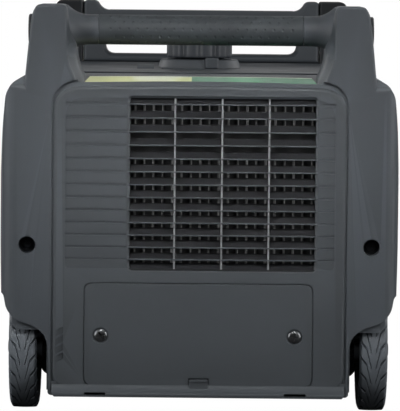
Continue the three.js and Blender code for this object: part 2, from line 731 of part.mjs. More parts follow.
function outletBody(x, half, holes) {
  const face = CONTROL_Y + 5;
  const plate = rectangle(x - half, x + half, OUTLETS.z - 34, OUTLETS.z + 34, 5);
  const body = prism(plate, "Y", CONTROL_Y, face);
  return cut(body, ...holes.map(([dx, dz, w, h]) => slot(x + dx, OUTLETS.z + dz, w, h, face)));
}

function slot(x, z, w, h, face) {
  return box(x - w / 2, x + w / 2, face - 4, face + 1, z - h / 2, z + h / 2);
}

function lockingCover() {
  const z1 = OUTLETS.z + 38;
  const y = CONTROL_Y + 8;
  const x = OUTLETS.locking;
  const lid = prism(rectangle(x - 28, x + 28, OUTLETS.z - 30, z1, 6), "Y", y - 2.5, y);
  return join(lid, rod("X", [y, z1], 2.2, x - 20, x + 20, 12));
}

function groundTerminal() {
  const stud = rod("Y", [-100, 148], 3, CONTROL_Y, CONTROL_Y + 16, 10);
  const nut = rod("Y", [-100, 148], 7, CONTROL_Y + 3, CONTROL_Y + 8, 6);
  return join(stud, nut, box(-112, -88, CONTROL_Y + 4, CONTROL_Y + 7, 144, 152));
}

function engineDial() {
  const { x, z } = DIAL;
  const knobBody = rod("Y", [x, z], 20, CONTROL_Y + GAP, CONTROL_Y + 8, 24);
  const bridge = prism(rectangle(x - 5, x + 5, z - 19, z + 19, 4), "Y", CONTROL_Y + 7, CONTROL_Y + 20);
  return join(knobBody, bridge, rod("Y", [x, z], 5, CONTROL_Y - 12, CONTROL_Y + 2, 12));
}

function ecoSwitch() {
  const profile = [[-7, -12], [7, -12], [9, 0], [7, 12], [-7, 12]].map(([y, z]) => [
    CONTROL_Y - 6 + y,
    ECO.z + z,
  ]);
  return prism(outline(profile), "X", ECO.x - 8, ECO.x + 8);
}

piece("front_panel", frontPanel(), PAINT.charcoal);
piece("control_panel", controlPanel(), PAINT.black);
const display = prism(rectangle(-125, -60, 282, 322, 5), "Y", CONTROL_Y, CONTROL_Y + 3);
piece("display_window", display, PAINT.glass);
const blades = [16, -16].flatMap((z) => [[-7, z + 4, 2.4, 9], [7, z + 4, 2.4, 7], [0, z - 6, 5, 5]]);
piece("duplex_outlet", outletBody(OUTLETS.duplex, 24, blades), PAINT.black);
const arcs = [[-9, 4, 2.6, 10], [9, 4, 2.6, 10], [0, -11, 9, 2.6]];
piece("locking_outlet", outletBody(OUTLETS.locking, 27, arcs), PAINT.black);
piece("locking_outlet_cover", lockingCover(), PAINT.rubber);
piece("dc_outlet", outletBody(OUTLETS.dc, 20, [[0, 10, 14, 14], [0, -14, 12, 5]]), PAINT.black);
piece("ground_terminal", groundTerminal(), PAINT.steel);
piece("engine_dial", engineDial(), PAINT.red);
piece("start_button", rod("Y", [START.x, START.z], 9, CONTROL_Y - 8, CONTROL_Y + 4, 20), PAINT.red);
piece("eco_switch", ecoSwitch(), PAINT.black);
const breaker = rod("Y", [BREAKER.x, BREAKER.z], 6, CONTROL_Y - 8, CONTROL_Y + 5, 16);
piece("circuit_breaker_button", breaker, PAINT.black);

// ---- engine, alternator and what they need ------------------------------------------------------
function engineBlock() {
  const crankcase = outline([[-55, 50, 12], [95, 50, 12], [95, 210, 25], [-25, 225, 20], [-60, 190, 15]]);
  const foot = box(-58, 78, -75, 115, 36, 52);
  const barrel = box(-28, 48, -95, -50, 116, 204);
  const fins = [-63, -73, -83, -93].map((y) => box(-36, 56, y - 1.5, y + 1.5, 108, 212));
  const block = join(prism(crankcase, "X", -50, 70), foot, barrel, ...fins);
  return cut(block, rod("X", [CRANK.y, CRANK.z], CRANK.radius + 0.6, -60, 90, 20));
}

function cylinderHead() {
  const fins = [-112, -122, -132, -142].map((y) => box(-36, 56, y - 1.5, y + 1.5, 108, 212));
  const rockerCover = prism(rectangle(-24, 44, 118, 202, 12), "Y", -158, -142);
  return join(box(-28, 48, -146, -102, 114, 206), rockerCover, ...fins);
}

// Cup of magnets on the crankshaft, with cooling blades on its closed end.
function alternatorRotor() {
  const shaft = CRANK.radius;
  const cup = [[shaft, -134], [62, -134], [62, -72], [57, -72], [57, -128], [shaft, -128]];
  const profile = [[0, -154], [shaft, -154], ...cup, [shaft, 78], [0, 78]];
  const blades = [0, 1, 2, 3, 4, 5, 6, 7].map((i) =>
    box(-148, -133, -1.5, 1.5, 16, 58)
      .rotateX((i * Math.PI) / 4)
      .translate(0, CRANK.y, CRANK.z),
  );
  return join(turned("X", [CRANK.y, CRANK.z], profile, 24), ...blades);
}

function muffler() {
  const body = prism(rectangle(-255, -170, 165, 335, 25), "X", -85, 120);
  const header = rod("Y", [10, 188], 13, -172, -158.4, 16);
  const tail = rod("Y", [95, 300], 12, -275, -250, 16);
  return join(body, header, tail);
}

function airCleaner() {
  const body = prism(rectangle(-70, 60, 214, 272, 10), "X", 82, 150);
  return join(body, box(61, 83, -50, -20, 234, 260));
}

function carburettor() {
  const body = box(24, 60, -55, -15, 232, 264);
  return join(body, rod("Z", [42, -35], 14, 227, 240, 16));
}

function recoilHousing() {
  const outside = [[12, -196], [60, -196], [72, -184], [72, -160]];
  const dish = [...outside, [68, -160], [68, -182], [58, -192], [12, -192]];
  return turned("X", [CRANK.y, CRANK.z], dish, 20);
}

function recoilHandle() {
  const grip = rod("Y", [-214.3, 230], 8.5, CRANK.y - 38, CRANK.y + 38, 16);
  return join(grip, rod("X", [CRANK.y, 230], 3.4, -207, -197, 12));
}

function inverterModule() {
  const fins = [];
  for (let x = -146; x <= -14; x += 12) fins.push(box(x - 1.5, x + 1.5, 152, 253, 60, 108));
  return join(box(-150, -10, 150, 255, 16, 64), ...fins);
}

function battery() {
  const poles = [65, 130].map((x) => rod("Z", [x, 185], 6, 98, 112, 12));
  return join(box(50, 145, 165, 250, 16, 100), ...poles);
}

function fuelTank() {
  const body = (grow) => {
    const side = rectangle(-150 + grow, 235 - grow, 278 + grow, 365.5 - grow, 16);
    return prism(side, "X", grow - 150, 150 - grow);
  };
  return cut(body(0), body(2.5), rod("Z", [CAP.x, CAP.y], NECK.bore, 350, 370, 20));
}

piece("engine_block", engineBlock(), PAINT.aluminium);
piece("cylinder_head", cylinderHead(), PAINT.aluminium);
piece("alternator_rotor", alternatorRotor(), PAINT.dark_steel);
const stator = tube("X", [CRANK.y, CRANK.z], 16, 54, -122, -50.6, 20);
piece("alternator_stator", stator, PAINT.dark_steel);
piece("muffler", muffler(), PAINT.dark_steel);
piece("spark_plug", rod("Z", [10, -128], 9, 212.4, 262, 14), PAINT.black);
piece("air_cleaner", airCleaner(), PAINT.black);
piece("carburettor", carburettor(), PAINT.aluminium);
piece("recoil_housing", recoilHousing(), PAINT.black);
piece("recoil_handle", recoilHandle(), PAINT.black);
piece("inverter_module", inverterModule(), PAINT.aluminium);
piece("battery", battery(), PAINT.black);
piece("fuel_tank", fuelTank(), PAINT.black);

export default generator;
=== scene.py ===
"""A wheeled inverter generator: the looks. Shapes are in millimetres, with heights from a datum RIDE
above the ground, and stand_for() lifts each finished piece by RIDE. The louvred end faces -Y and the
control panel faces +Y."""
import math

import bmesh
import bpy
from mathutils import Matrix, Vector


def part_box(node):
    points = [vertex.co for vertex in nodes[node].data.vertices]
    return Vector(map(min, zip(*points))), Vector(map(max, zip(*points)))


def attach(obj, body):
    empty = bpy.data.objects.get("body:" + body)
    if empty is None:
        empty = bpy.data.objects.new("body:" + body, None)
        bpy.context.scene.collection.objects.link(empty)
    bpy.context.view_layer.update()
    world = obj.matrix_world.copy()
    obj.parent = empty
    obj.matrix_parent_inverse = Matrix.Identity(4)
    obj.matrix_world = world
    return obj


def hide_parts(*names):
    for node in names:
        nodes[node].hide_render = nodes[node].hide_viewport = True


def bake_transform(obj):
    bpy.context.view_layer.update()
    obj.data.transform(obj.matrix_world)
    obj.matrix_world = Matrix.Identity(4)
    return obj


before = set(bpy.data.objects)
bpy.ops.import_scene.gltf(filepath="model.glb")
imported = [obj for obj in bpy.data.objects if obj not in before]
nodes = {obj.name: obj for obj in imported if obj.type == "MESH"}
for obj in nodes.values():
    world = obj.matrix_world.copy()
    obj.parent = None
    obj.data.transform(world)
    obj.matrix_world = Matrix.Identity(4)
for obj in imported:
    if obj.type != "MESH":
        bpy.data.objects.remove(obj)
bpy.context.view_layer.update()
MM = 0.001
RIDE = 9 * MM
SIDES = ((-1, "left"), (1, "right"))

# ---- camera and light ---------------------------------------------------------------------------
CAMERA_HEIGHT = 0.507
CAMERA_DISTANCE = 3.72  # in front of the louvred end
PIXEL_AT_FACE = 1.124 * MM  # what one of the image's 400 columns spans at the louvred end
CAMERA_DOWN = math.radians(4.105)
CAMERA_ROLL = math.radians(0.55)
FACE_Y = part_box("rear_end_panel")[0].y
SKY_LOW, SKY_HIGH = 0.11, 0.36
FRONT_POWER, TOP_POWER, SIDE_POWER, BACK_POWER, BAND_POWER = 3.6, 5, 20, 20, 0.35


def new_object(name, data):
    made = bpy.data.objects.new(name, data)
    bpy.context.scene.collection.objects.link(made)
    return made


def make_camera():
    data = bpy.data.cameras.new("camera")
    camera = new_object("camera", data)
    data.sensor_width = 36
    data.sensor_fit = "HORIZONTAL"
    data.lens = 36 * CAMERA_DISTANCE / (PIXEL_AT_FACE * 400)
    data.clip_end = 50
    camera.location = (0.0005, FACE_Y - CAMERA_DISTANCE, CAMERA_HEIGHT)
    turn = Matrix.Rotation(math.pi / 2 - CAMERA_DOWN, 4, "X") @ Matrix.Rotation(CAMERA_ROLL, 4, "Z")
    camera.rotation_euler = turn.to_euler()
    bpy.context.scene.camera = camera
    bpy.context.scene.view_settings.view_transform = "Standard"


def area_light(name, place, aim, size, power):
    data = bpy.data.lights.new(name, "AREA")
    data.shape = "RECTANGLE"
    data.size, data.size_y = size
    data.energy = power
    lamp = new_object(name, data)
    lamp.location = place
    lamp.rotation_euler = (Vector(aim) - Vector(place)).to_track_quat("-Z", "Y").to_euler()
    return lamp


def make_world():
    """A white studio for the camera, and a dim one, lighter overhead, for the object."""
    world = bpy.data.worlds.new("studio")
    world.use_nodes = True
    tree = world.node_tree
    dim = tree.nodes["Background"]
    white = add(tree, "ShaderNodeBackground")
    white.inputs["Color"].default_value = (1, 1, 1, 1)
    white.inputs["Strength"].default_value = 1.0
    direction = add(tree, "ShaderNodeSeparateXYZ")
    tree.links.new(add(tree, "ShaderNodeTexCoord").outputs["Generated"], direction.inputs["Vector"])
    height = remap(tree, direction.outputs["Z"], SKY_LOW, SKY_HIGH, -0.4, 0.9)
    tree.links.new(height, dim.inputs["Strength"])
    both = add(tree, "ShaderNodeMixShader")
    tree.links.new(add(tree, "ShaderNodeLightPath").outputs["Is Camera Ray"], both.inputs["Fac"])
    tree.links.new(dim.outputs["Background"], both.inputs[1])
    tree.links.new(white.outputs["Background"], both.inputs[2])
    tree.links.new(both.outputs["Shader"], tree.nodes["World Output"].inputs["Surface"])
    bpy.context.scene.world = world


def make_lights():
    area_light("softbox_front", (0, -1.3, 1.0), (0, -0.25, 0.4), (1.3, 0.45), FRONT_POWER)
    area_light("softbox_top", (0, 0.1, 1.9), (0, 0.05, 0.3), (1.5, 1.5), TOP_POWER)
    for side, name in SIDES:
        aim = (0.2 * side, -0.25, 0.3)
        area_light("strip_" + name, (1.75 * side, -1.25, 0.75), aim, (0.35, 1.3), SIDE_POWER)
    area_light("rim_behind", (0.3, 2.4, 1.5), (0, 0.25, 0.3), (1.4, 1.2), TOP_POWER)
    behind = area_light("softbox_behind", (0.3, 2.5, 0.2), (0, 0.3, 0.21), (1.2, 0.28), BACK_POWER)
    behind.visible_camera = False
    for side, name in SIDES:
        area_light("fill_" + name, (2.2 * side, 1.3, 1.1), (0.2 * side, 0.1, 0.25), (1.2, 1.0), BACK_POWER)
    band = area_light("band_front", (0, -1.1, 0.98), (0, -0.3, 0.31), (0.6, 0.06), BAND_POWER)
    band.data.spread = math.radians(24)
    band.visible_camera = False


# ---- node materials -----------------------------------------------------------------------------
def new_material(name):
    material = bpy.data.materials.new(name)
    material.use_nodes = True
    tree = material.node_tree
    shader = tree.nodes["Principled BSDF"]
    return material, tree, shader


def add(tree, kind, **values):
    node = tree.nodes.new(kind)
    for key, value in values.items():
        setattr(node, key, value)
    return node


def coordinates(tree):
    return add(tree, "ShaderNodeTexCoord").outputs["Object"]


def noise_of(tree, scale, detail=3.0, rough=0.55):
    texture = add(tree, "ShaderNodeTexNoise")
    texture.inputs["Scale"].default_value = scale
    texture.inputs["Detail"].default_value = detail
    texture.inputs["Roughness"].default_value = rough
    tree.links.new(coordinates(tree), texture.inputs["Vector"])
    return texture.outputs["Fac"]


def remap(tree, value, low, high, from_low=0.3, from_high=0.7):
    node = add(tree, "ShaderNodeMapRange")
    node.inputs["From Min"].default_value = from_low
    node.inputs["From Max"].default_value = from_high
    node.inputs["To Min"].default_value = low
    node.inputs["To Max"].default_value = high
    tree.links.new(value, node.inputs["Value"])
    return node.outputs["Result"]


def mix_colour(tree, factor, first, second):
    node = add(tree, "ShaderNodeMix", data_type="RGBA")
    for socket, value in ((node.inputs["A"], first), (node.inputs["B"], second)):
        if isinstance(value, tuple):
            socket.default_value = value
        else:
            tree.links.new(value, socket)
    tree.links.new(factor, node.inputs["Factor"])
    return node.outputs["Result"]


def bump(tree, shader, height, strength, distance):
    node = add(tree, "ShaderNodeBump")
    node.inputs["Strength"].default_value = strength
    node.inputs["Distance"].default_value = distance
    tree.links.new(height, node.inputs["Height"])
    tree.links.new(node.outputs["Normal"], shader.inputs["Normal"])


def edge_mask(tree):
    """1 along raised edges, 0 on flats and in grooves."""
    pointiness = add(tree, "ShaderNodeNewGeometry").outputs["Pointiness"]
    return remap(tree, pointiness, 0.0, 1.0, 0.51, 0.56)


def tint(colour, factor):
    return tuple(c * factor for c in colour[:3]) + (1.0,)


def moulded(name, colour, rough=0.5, grain_depth=0.12, wear=0.35, specular=0.5):
    """Moulded plastic: spark-eroded grain, faint flow mottling, raised edges drawn lighter."""
    material, tree, shader = new_material(name)
    mottle = noise_of(tree, 9, 4)
    base = mix_colour(tree, remap(tree, mottle, 0.0, 1.0), tint(colour, 0.93), tint(colour, 1.07))
    # Raised edges are drawn lighter, by the factor 1 + wear.
    lighter_edges = mix_colour(tree, edge_mask(tree), base, tint(colour, 1.0 + wear))
    tree.links.new(lighter_edges, shader.inputs["Base Color"])
    smear = noise_of(tree, 28, 5)
    tree.links.new(remap(tree, smear, rough - 0.05, rough + 0.07), shader.inputs["Roughness"])
    shader.inputs["Specular IOR Level"].default_value = specular
    bump(tree, shader, noise_of(tree, 2600, 2), grain_depth, 0.0004)
    return material


def metal(name, colour, rough, metallic=1.0):
    material, tree, shader = new_material(name)
    shader.inputs["Metallic"].default_value = metallic
    patch = noise_of(tree, 40, 4)
    base = mix_colour(tree, remap(tree, patch, 0.0, 1.0), tint(colour, 0.85), tint(colour, 1.1))
    tree.links.new(base, shader.inputs["Base Color"])
    tree.links.new(remap(tree, noise_of(tree, 90, 4), rough - 0.08, rough + 0.1), shader.inputs["Roughness"])
    bump(tree, shader, noise_of(tree, 900, 3), 0.15, 0.0003)
    return material


def rubber(name, colour, rough):
    material, tree, shader = new_material(name)
    bloom = noise_of(tree, 22, 5)
    base = mix_colour(tree, remap(tree, bloom, 0.0, 1.0), tint(colour, 0.82), tint(colour, 1.22))
    tree.links.new(base, shader.inputs["Base Color"])
    tree.links.new(remap(tree, noise_of(tree, 60, 4), rough - 0.1, rough + 0.08), shader.inputs["Roughness"])
    shader.inputs["Specular IOR Level"].default_value = 0.4
    bump(tree, shader, noise_of(tree, 1500, 2), 0.2, 0.0003)
    return material


# ---- shapes -------------------------------------------------------------------------------------
def outline(corners, steps=8):
    """Points of a closed outline. A corner is (a, b) or (a, b, r): r is how far its rounding reaches."""
    points = []
    count = len(corners)
    for i, corner in enumerate(corners):
        here = Vector(corner[:2])
        reach = corner[2] if len(corner) > 2 else 0
        if reach <= 0:
            points.append(here)
            continue
        before = here + (Vector(corners[i - 1][:2]) - here).normalized() * reach
        after = here + (Vector(corners[(i + 1) % count][:2]) - here).normalized() * reach
        for k in range(steps + 1):
            t = k / steps
            points.append(before * (1 - t) ** 2 + here * 2 * t * (1 - t) + after * t * t)
    return points


def rectangle(a0, a1, b0, b1, r=0):
    return [(a0, b0, r), (a1, b0, r), (a1, b1, r), (a0, b1, r)]


def inset(corners, distance):
    """Moves an anticlockwise outline's corners inwards."""
    moved = []
    count = len(corners)
    for i, corner in enumerate(corners):
        here = Vector(corner[:2])
        along = (here - Vector(corners[i - 1][:2])).normalized()
        onward = (Vector(corners[(i + 1) % count][:2]) - here).normalized()
        normal = Vector((-along.y, along.x))
        bisector = (normal + Vector((-onward.y, onward.x))).normalized()
        shifted = here + bisector * (distance / bisector.dot(normal))
        reach = corner[2] if len(corner) > 2 else 0
        moved.append((shifted.x, shifted.y, max(reach - distance, 0.01) if reach > 0 else 0))
    return moved


def on_side(side, corners):
    """Corners given for the right side, or their mirror image for the left one."""
    if side > 0:
        return corners
    return [(-c[0],) + tuple(c[1:]) for c in reversed(corners)]


PLACES = {
    "X": lambda a, b, t: (t, a, b),
    "Y": lambda a, b, t: (a, t, b),
    "Z": lambda a, b, t: (a, b, t),
}


def piece(name, verts, faces, degenerate=False):
    """A new object from vertices in millimetres."""
    mesh = bpy.data.meshes.new(name)
    mesh.from_pydata([Vector(v) * MM for v in verts], [], faces)
    bm = bmesh.new()
    bm.from_mesh(mesh)
    bmesh.ops.remove_doubles(bm, verts=bm.verts, dist=1e-7)
    if degenerate:
        bmesh.ops.dissolve_degenerate(bm, edges=bm.edges, dist=1e-8)
    bmesh.ops.recalc_face_normals(bm, faces=bm.faces)
    bm.to_mesh(mesh)
    bm.free()
    return new_object(name, mesh)


def stack(name, rings, axis):
    """A skin over rings [(outline points, distance along the axis), ...] with equal point counts."""
    place = PLACES[axis]
    verts = [place(p[0], p[1], t) for points, t in rings for p in points]
    n = len(rings[0][0])
    faces = []
    for r in range(len(rings) - 1):
        for i in range(n):
            j = (i + 1) % n
            faces.append((r * n + i, r * n + j, (r + 1) * n + j, (r + 1) * n + i))
    faces.append(tuple(range(n)))
    faces.append(tuple((len(rings) - 1) * n + i for i in range(n)))
    return piece(name, verts, faces)


def prism(corners, axis, start, end, steps=8, name="prism"):
    points = outline(corners, steps)
    return stack(name, [(points, start), (points, end)], axis)


def pillow(corners, axis, start, end, radius, both=True, steps=8, rounds=5, name="pillow"):
    """A prism whose end faces have rounded rims. The outline runs anticlockwise."""
    rings = []
    for k in range(rounds + 1):
        angle = math.pi / 2 * k / rounds
        shrink = radius * (1 - math.sin(angle))
        rings.append((outline(inset(corners, shrink), steps), start + radius * (1 - math.cos(angle))))
    if both:
        for k in range(rounds, -1, -1):
            angle = math.pi / 2 * k / rounds
            shrink = radius * (1 - math.sin(angle))
            rings.append((outline(inset(corners, shrink), steps), end - radius * (1 - math.cos(angle))))
    else:
        rings.append((outline(corners, steps), end))
    return stack(name, rings, axis)


def block(x0, x1, y0, y1, z0, z1, name="block"):
    return prism(rectangle(x0, x1, y0, y1), "Z", z0, z1, name=name)


def side_block(side, u0, u1, y0, y1, z0, z1):
    return block(u0, u1, y0, y1, z0, z1) if side > 0 else block(-u1, -u0, y0, y1, z0, z1)


def lathe(name, axis, centre, profile, segments=48, shape=None):
    """A turned piece. Profile points are (radius, distance along the axis), from axis to axis or in a
    closed loop. shape(angle, radius, distance) may return another radius."""
    closed = profile[0][0] > 0
    place = PLACES[axis]
    verts, faces = [], []
    for r, t in profile:
        for k in range(segments):
            angle = 2 * math.pi * k / segments
            radius = shape(angle, r, t) if shape and r > 0 else r
            a, b = radius * math.cos(angle), radius * math.sin(angle)
            verts.append(place(centre[0] + a, centre[1] + b, t))
    count = len(profile)
    for i in range(count if closed else count - 1):
        j = (i + 1) % count
        for k in range(segments):
            m = (k + 1) % segments
            faces.append((i * segments + k, i * segments + m, j * segments + m, j * segments + k))
    return piece(name, verts, faces, degenerate=True)


def mirrored(side, profile):
    """The profile of a lathe along X, on the left or the right."""
    return [(r, side * x) for r, x in profile]


def rod(axis, centre, radius, start, end, segments=40, chamfer=0.0, name="rod"):
    if not chamfer:
        return lathe(name, axis, centre, [(0, start), (radius, start), (radius, end), (0, end)], segments)
    profile = [(0, start), (radius - chamfer, start), (radius, start + chamfer)]
    profile += [(radius, end - chamfer), (radius - chamfer, end), (0, end)]
    return lathe(name, axis, centre, profile, segments)


def tube(axis, centre, inner, outer, start, end, segments=40, name="tube"):
    profile = [(inner, start), (outer, start), (outer, end), (inner, end)]
    return lathe(name, axis, centre, profile, segments)


def settle(shape):
    """Applies a shape's modifiers."""
    graph = bpy.context.evaluated_depsgraph_get()
    mesh = bpy.data.meshes.new_from_object(shape.evaluated_get(graph))
    old = shape.data
    shape.modifiers.clear()
    shape.data = mesh
    bpy.data.meshes.remove(old)
    return shape


def discard(shape):
    mesh = shape.data
    bpy.data.objects.remove(shape)
    bpy.data.meshes.remove(mesh)


def combine(shape, tools, how):
    for tool in tools:
        modifier = shape.modifiers.new("combine", "BOOLEAN")
        modifier.object = tool
        modifier.operation = how
        modifier.solver = "EXACT"
    settle(shape)
    for tool in tools:
        discard(tool)
    return shape


def join(shape, *tools):
    return combine(shape, tools, "UNION")


def cut(shape, *tools):
    return combine(shape, tools, "DIFFERENCE")


def common(shape, *tools):
    return combine(shape, tools, "INTERSECT")


def gather(name, shapes):
    """Several separate solids as one object."""
    bm = bmesh.new()
    for shape in shapes:
        bm.from_mesh(shape.data)
        discard(shape)
    mesh = bpy.data.meshes.new(name)
    bm.to_mesh(mesh)
    bm.free()
    return new_object(name, mesh)


def round_edges(shape, width, segments, angle):
    bevel = shape.modifiers.new("rounded_edges", "BEVEL")
    bevel.width = width * MM
    bevel.segments = segments
    bevel.limit_method = "ANGLE"
    bevel.angle_limit = math.radians(angle)
    bevel.harden_normals = True
    return bevel


def even_shading(shape):
    normals = shape.modifiers.new("even_shading", "WEIGHTED_NORMAL")
    normals.weight = 60
    return normals


def soften(shape, width, segments=2, angle=32):
    """Small rounded edges with clean shading."""
    mesh = shape.data
    bm = bmesh.new()
    bm.from_mesh(mesh)
    bmesh.ops.remove_doubles(bm, verts=bm.verts, dist=2e-5)
    bmesh.ops.dissolve_degenerate(bm, edges=bm.edges, dist=1e-6)
    bmesh.ops.dissolve_limit(bm, angle_limit=math.radians(0.6), verts=bm.verts, edges=bm.edges)
    bm.to_mesh(mesh)
    bm.free()
    mesh.shade_smooth()
    mesh.set_sharp_from_angle(angle=math.radians(angle))
    if width:
        round_edges(shape, width, segments, angle).miter_outer = "MITER_ARC"
    even_shading(shape).keep_sharp = True
    return shape


def named(shape, name, width=0, angle=32):
    """Names a joined or cut piece and softens its edges."""
    shape.name = name
    return soften(shape, width, 2, angle)


def soften_frame(name, width):
    """Rounded edges on a CAD node, which keeps its own mesh."""
    shape = nodes[name]
    weld = shape.modifiers.new("weld", "WELD")
    weld.merge_threshold = 1e-5
    round_edges(shape, width, 2, 32)
    even_shading(shape)
    shape.data.shade_smooth()
    return shape


def wear(shape, material):
    shape.data.materials.clear()
    shape.data.materials.append(material)
    return shape


def stand_for(shape, body, slot, *replaced):
    """Puts a finished piece on its body, in place of CAD nodes."""
    shape.data.transform(Matrix.Translation((0, 0, RIDE)))
    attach(shape, body)
    if replaced:
        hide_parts(*replaced)
    return shape


def put(shape, material, body, slot, *replaced, edge=None, angle=32):
    """Finishes a piece and puts it on its body. With an edge width, 0 included, it is softened first."""
    if edge is not None:
        soften(shape, edge, 2, angle)
    return stand_for(wear(shape, material), body, slot, *replaced)


# ---- finishes -----------------------------------------------------------------------------------
CHARCOAL = (0.050, 0.057, 0.065)
CHARCOAL_PANEL = (0.052, 0.059, 0.066)
BLACK = (0.010, 0.0115, 0.0135)
charcoal = moulded("charcoal_plastic", CHARCOAL, 0.5, specular=0.36)
panel_plastic = moulded("panel_plastic", CHARCOAL_PANEL, 0.54, specular=0.36)
black_plastic = moulded("black_plastic", BLACK, 0.42, grain_depth=0.1, wear=0.9, specular=0.35)
cap_plastic = moulded("cap_plastic", (0.036, 0.041, 0.048), 0.46, specular=0.4)
slat_plastic = moulded("slat_plastic", (0.042, 0.048, 0.053), 0.45)
bar_plastic = moulded("bar_plastic", (0.15, 0.155, 0.162), 0.4)
# Near-black plastic as painted shade: on the louvre slats, their frame ring and the strip behind the corner
# scoops.
painted_shade_plastic = moulded("painted_shade_plastic", (0.010, 0.0105, 0.012), 0.6, specular=0.25)
grip_rubber = rubber("grip_rubber", (0.036, 0.043, 0.048), 0.62)
tyre_rubber = rubber("tyre_rubber", (0.11, 0.124, 0.14), 0.5)
foot_rubber = rubber("foot_rubber", (0.012, 0.012, 0.013), 0.8)
zinc = metal("zinc_plate", (0.62, 0.63, 0.64), 0.3)
dark_zinc = metal("dark_zinc", (0.14, 0.145, 0.15), 0.3, metallic=0.9)
guard_steel = metal("guard_steel", (0.075, 0.077, 0.08), 0.5, metallic=0.4)
# Light steel for the heat guard's ribs: a painted highlight where light falls on them between the slats; the
# plate they belong to is dark.
painted_highlight_rib_steel = metal("painted_highlight_rib_steel", (0.34, 0.345, 0.35), 0.42, metallic=0.6)
cast_metal = metal("cast_aluminium", (0.55, 0.56, 0.57), 0.5)
signal_red = moulded("signal_red", (0.42, 0.018, 0.014), 0.38, wear=0.25)
rope_cord = rubber("rope_cord", (0.04, 0.04, 0.042), 0.9)
glass = moulded("display_glass", (0.008, 0.010, 0.011), 0.12, grain_depth=0.0, wear=0.1)
lamp_green = moulded("lamp_green", (0.05, 0.30, 0.08), 0.25, grain_depth=0.02)
white_print = moulded("white_print", (0.62, 0.63, 0.63), 0.5, grain_depth=0.02)


# ---- side covers --------------------------------------------------------------------------------
END = 292
WALL = 3
WIDE = 225
OPEN = 167.3
TOWER_TOP = 456
HULL = [
    (OPEN, 20),
    (180, 20, 4),
    (190, 34, 4),
    (206, 34, 6),
    (WIDE - 4, 66, 12),
    (WIDE - 1.5, 118, 16),
    (WIDE, 190, 20),
    (WIDE, 260, 20),
    (WIDE - 2, 317, 16),
    (219.5, 355, 6),
    (212, 368, 6),
    (199, 374.5, 4),
    (OPEN, 376),
]
TOWER = [
    (140, 330),
    (198.5, 330),
    (198.5, 366, 8),
    (194, 412, 12),
    (190, 446, 5),
    (184.5, TOWER_TOP, 5),
    (151, TOWER_TOP, 7),
    (150, 410, 10),
    (149, 392, 10),
    (140, 372, 7),
]
TOWER_END = 70 - END
TOWER_SLANT = 9.5
AXLE = (-216, 61)
WELL_RADIUS = 77
WELL_INNER = 171.5
BAR = (-257, 427.5)
BAR_RADIUS = 17
NOTCH = (224, 331, 199.5)
RAIL = (180, 345)
BOLT = (194.5, 185)
POCKET = (-25, 65, 212, 248)
DOOR = (-60, 90, 150, 300)
SEAM = 1.6
DOOR_KNOB = (78, 225)
ROPE_EXIT = (20, 230)
ROPE_RADIUS = 1.9


def hull(side, grow):
    """The cover's outer form, or the hollow inside it."""
    ends = (grow - END, END - grow)
    body = prism(on_side(side, inset(HULL, grow)), "Y", *ends)
    r = 18 - grow
    edge = WIDE - grow
    plan = [(100, ends[0]), (edge, ends[0], r), (edge, ends[1], r), (100, ends[1])]
    low = 362 - grow
    slopes = [(ends[0], 0), (ends[1], 0), (ends[1], low, 5), (ends[1] - 14, low + 18, 8)]
    slopes += [(ends[0] + 14, low + 18, 8), (ends[0], low, 5)]
    ends_tool = prism(on_side(side, plan), "Z", 0, TOWER_TOP, steps=12)
    return common(body, ends_tool, prism(slopes, "X", -WIDE - 1, WIDE + 1))


def slanted_tower(side, y0, y1, grow, rim):
    """A near tower: its inner wall slants towards the middle behind its face."""
    corners = on_side(side, inset(TOWER, grow))

    def points(shrink, slant):
        moved = []
        for p in outline(inset(corners, shrink), 6):
            share = min(max((TOWER_TOP - 6 - p.y) / 40, 0), 1) if abs(p.x) < 160 else 0
            moved.append(Vector((p.x - side * slant * share, p.y)))
        return moved

    rings = []
    for k in range(6):
        angle = math.pi / 2 * k / 5
        rings.append((points(rim * (1 - math.sin(angle)), 0), y0 + rim * (1 - math.cos(angle))))
    for k in range(1, 7):
        t = k / 6
        rings.append((points(0, TOWER_SLANT * math.sin(t * math.pi / 2)), y0 + rim + (22 - rim) * t))
    rings.append((points(0, TOWER_SLANT), y1 - rim))
    rings.append((points(rim * 0.3, TOWER_SLANT), y1 - rim * 0.3))
    rings.append((points(rim, TOWER_SLANT), y1))
    return stack("tower", rings, "Y")


def wheel_room(side, radius, inner):
    ends = (inner, WIDE + 5) if side > 0 else (-WIDE - 5, -inner)
    round_part = rod("X", AXLE, radius, *ends, segments=64)
    below = side_block(side, inner, WIDE + 5, AXLE[0] - radius, AXLE[0] + radius, -10, AXLE[1])
    return join(round_part, below)


def end_opening(side):
    corners = [(100, -10), (OPEN, -10), (OPEN, 372, 36), (100, 372)]
    return prism(on_side(side, corners), "Y", -END - 1, 6 - END, steps=14)


def face_arch(side):
    corner = [(240, 140), (221, 128, 3), (218, 112, 6), (209, 101, 3)]
    arch = [(201, 97.5, 4), (187, 93, 4), (179, 87.5, 4), (172.5, 80, 4), (170, 66, 5), (168.6, 20)]
    through = [(168.6, -10), (240, -10)] + corner + arch
    outer = [(206, -10), (240, -10)] + corner + [(206, 99.5)]
    return join(
        prism(on_side(side, through), "Y", -END - 1, WALL + 1 - END),
        prism(on_side(side, outer), "Y", -END - 1, -255),
    )


def door_block(grow):
    y0, y1, z0, z1 = DOOR
    corners = rectangle(y0 - grow, y1 + grow, z0 - grow, z1 + grow, 9)
    return prism(corners, "X", 205, 230)


def side_shell(side):
    hollow = join(hull(side, WALL), side_block(side, 100, 180, WALL - END, END - WALL, 23, 370))
    return cut(hull(side, 0), hollow)


def side_vents(side):
    ends = (205, 235) if side > 0 else (-235, -205)
    slots = []
    for k in range(5):
        z = 99 + 16 * k
        slots.append(prism(rectangle(140, 240, z - 3, z + 3, 3), "X", *ends, steps=5))
    return slots


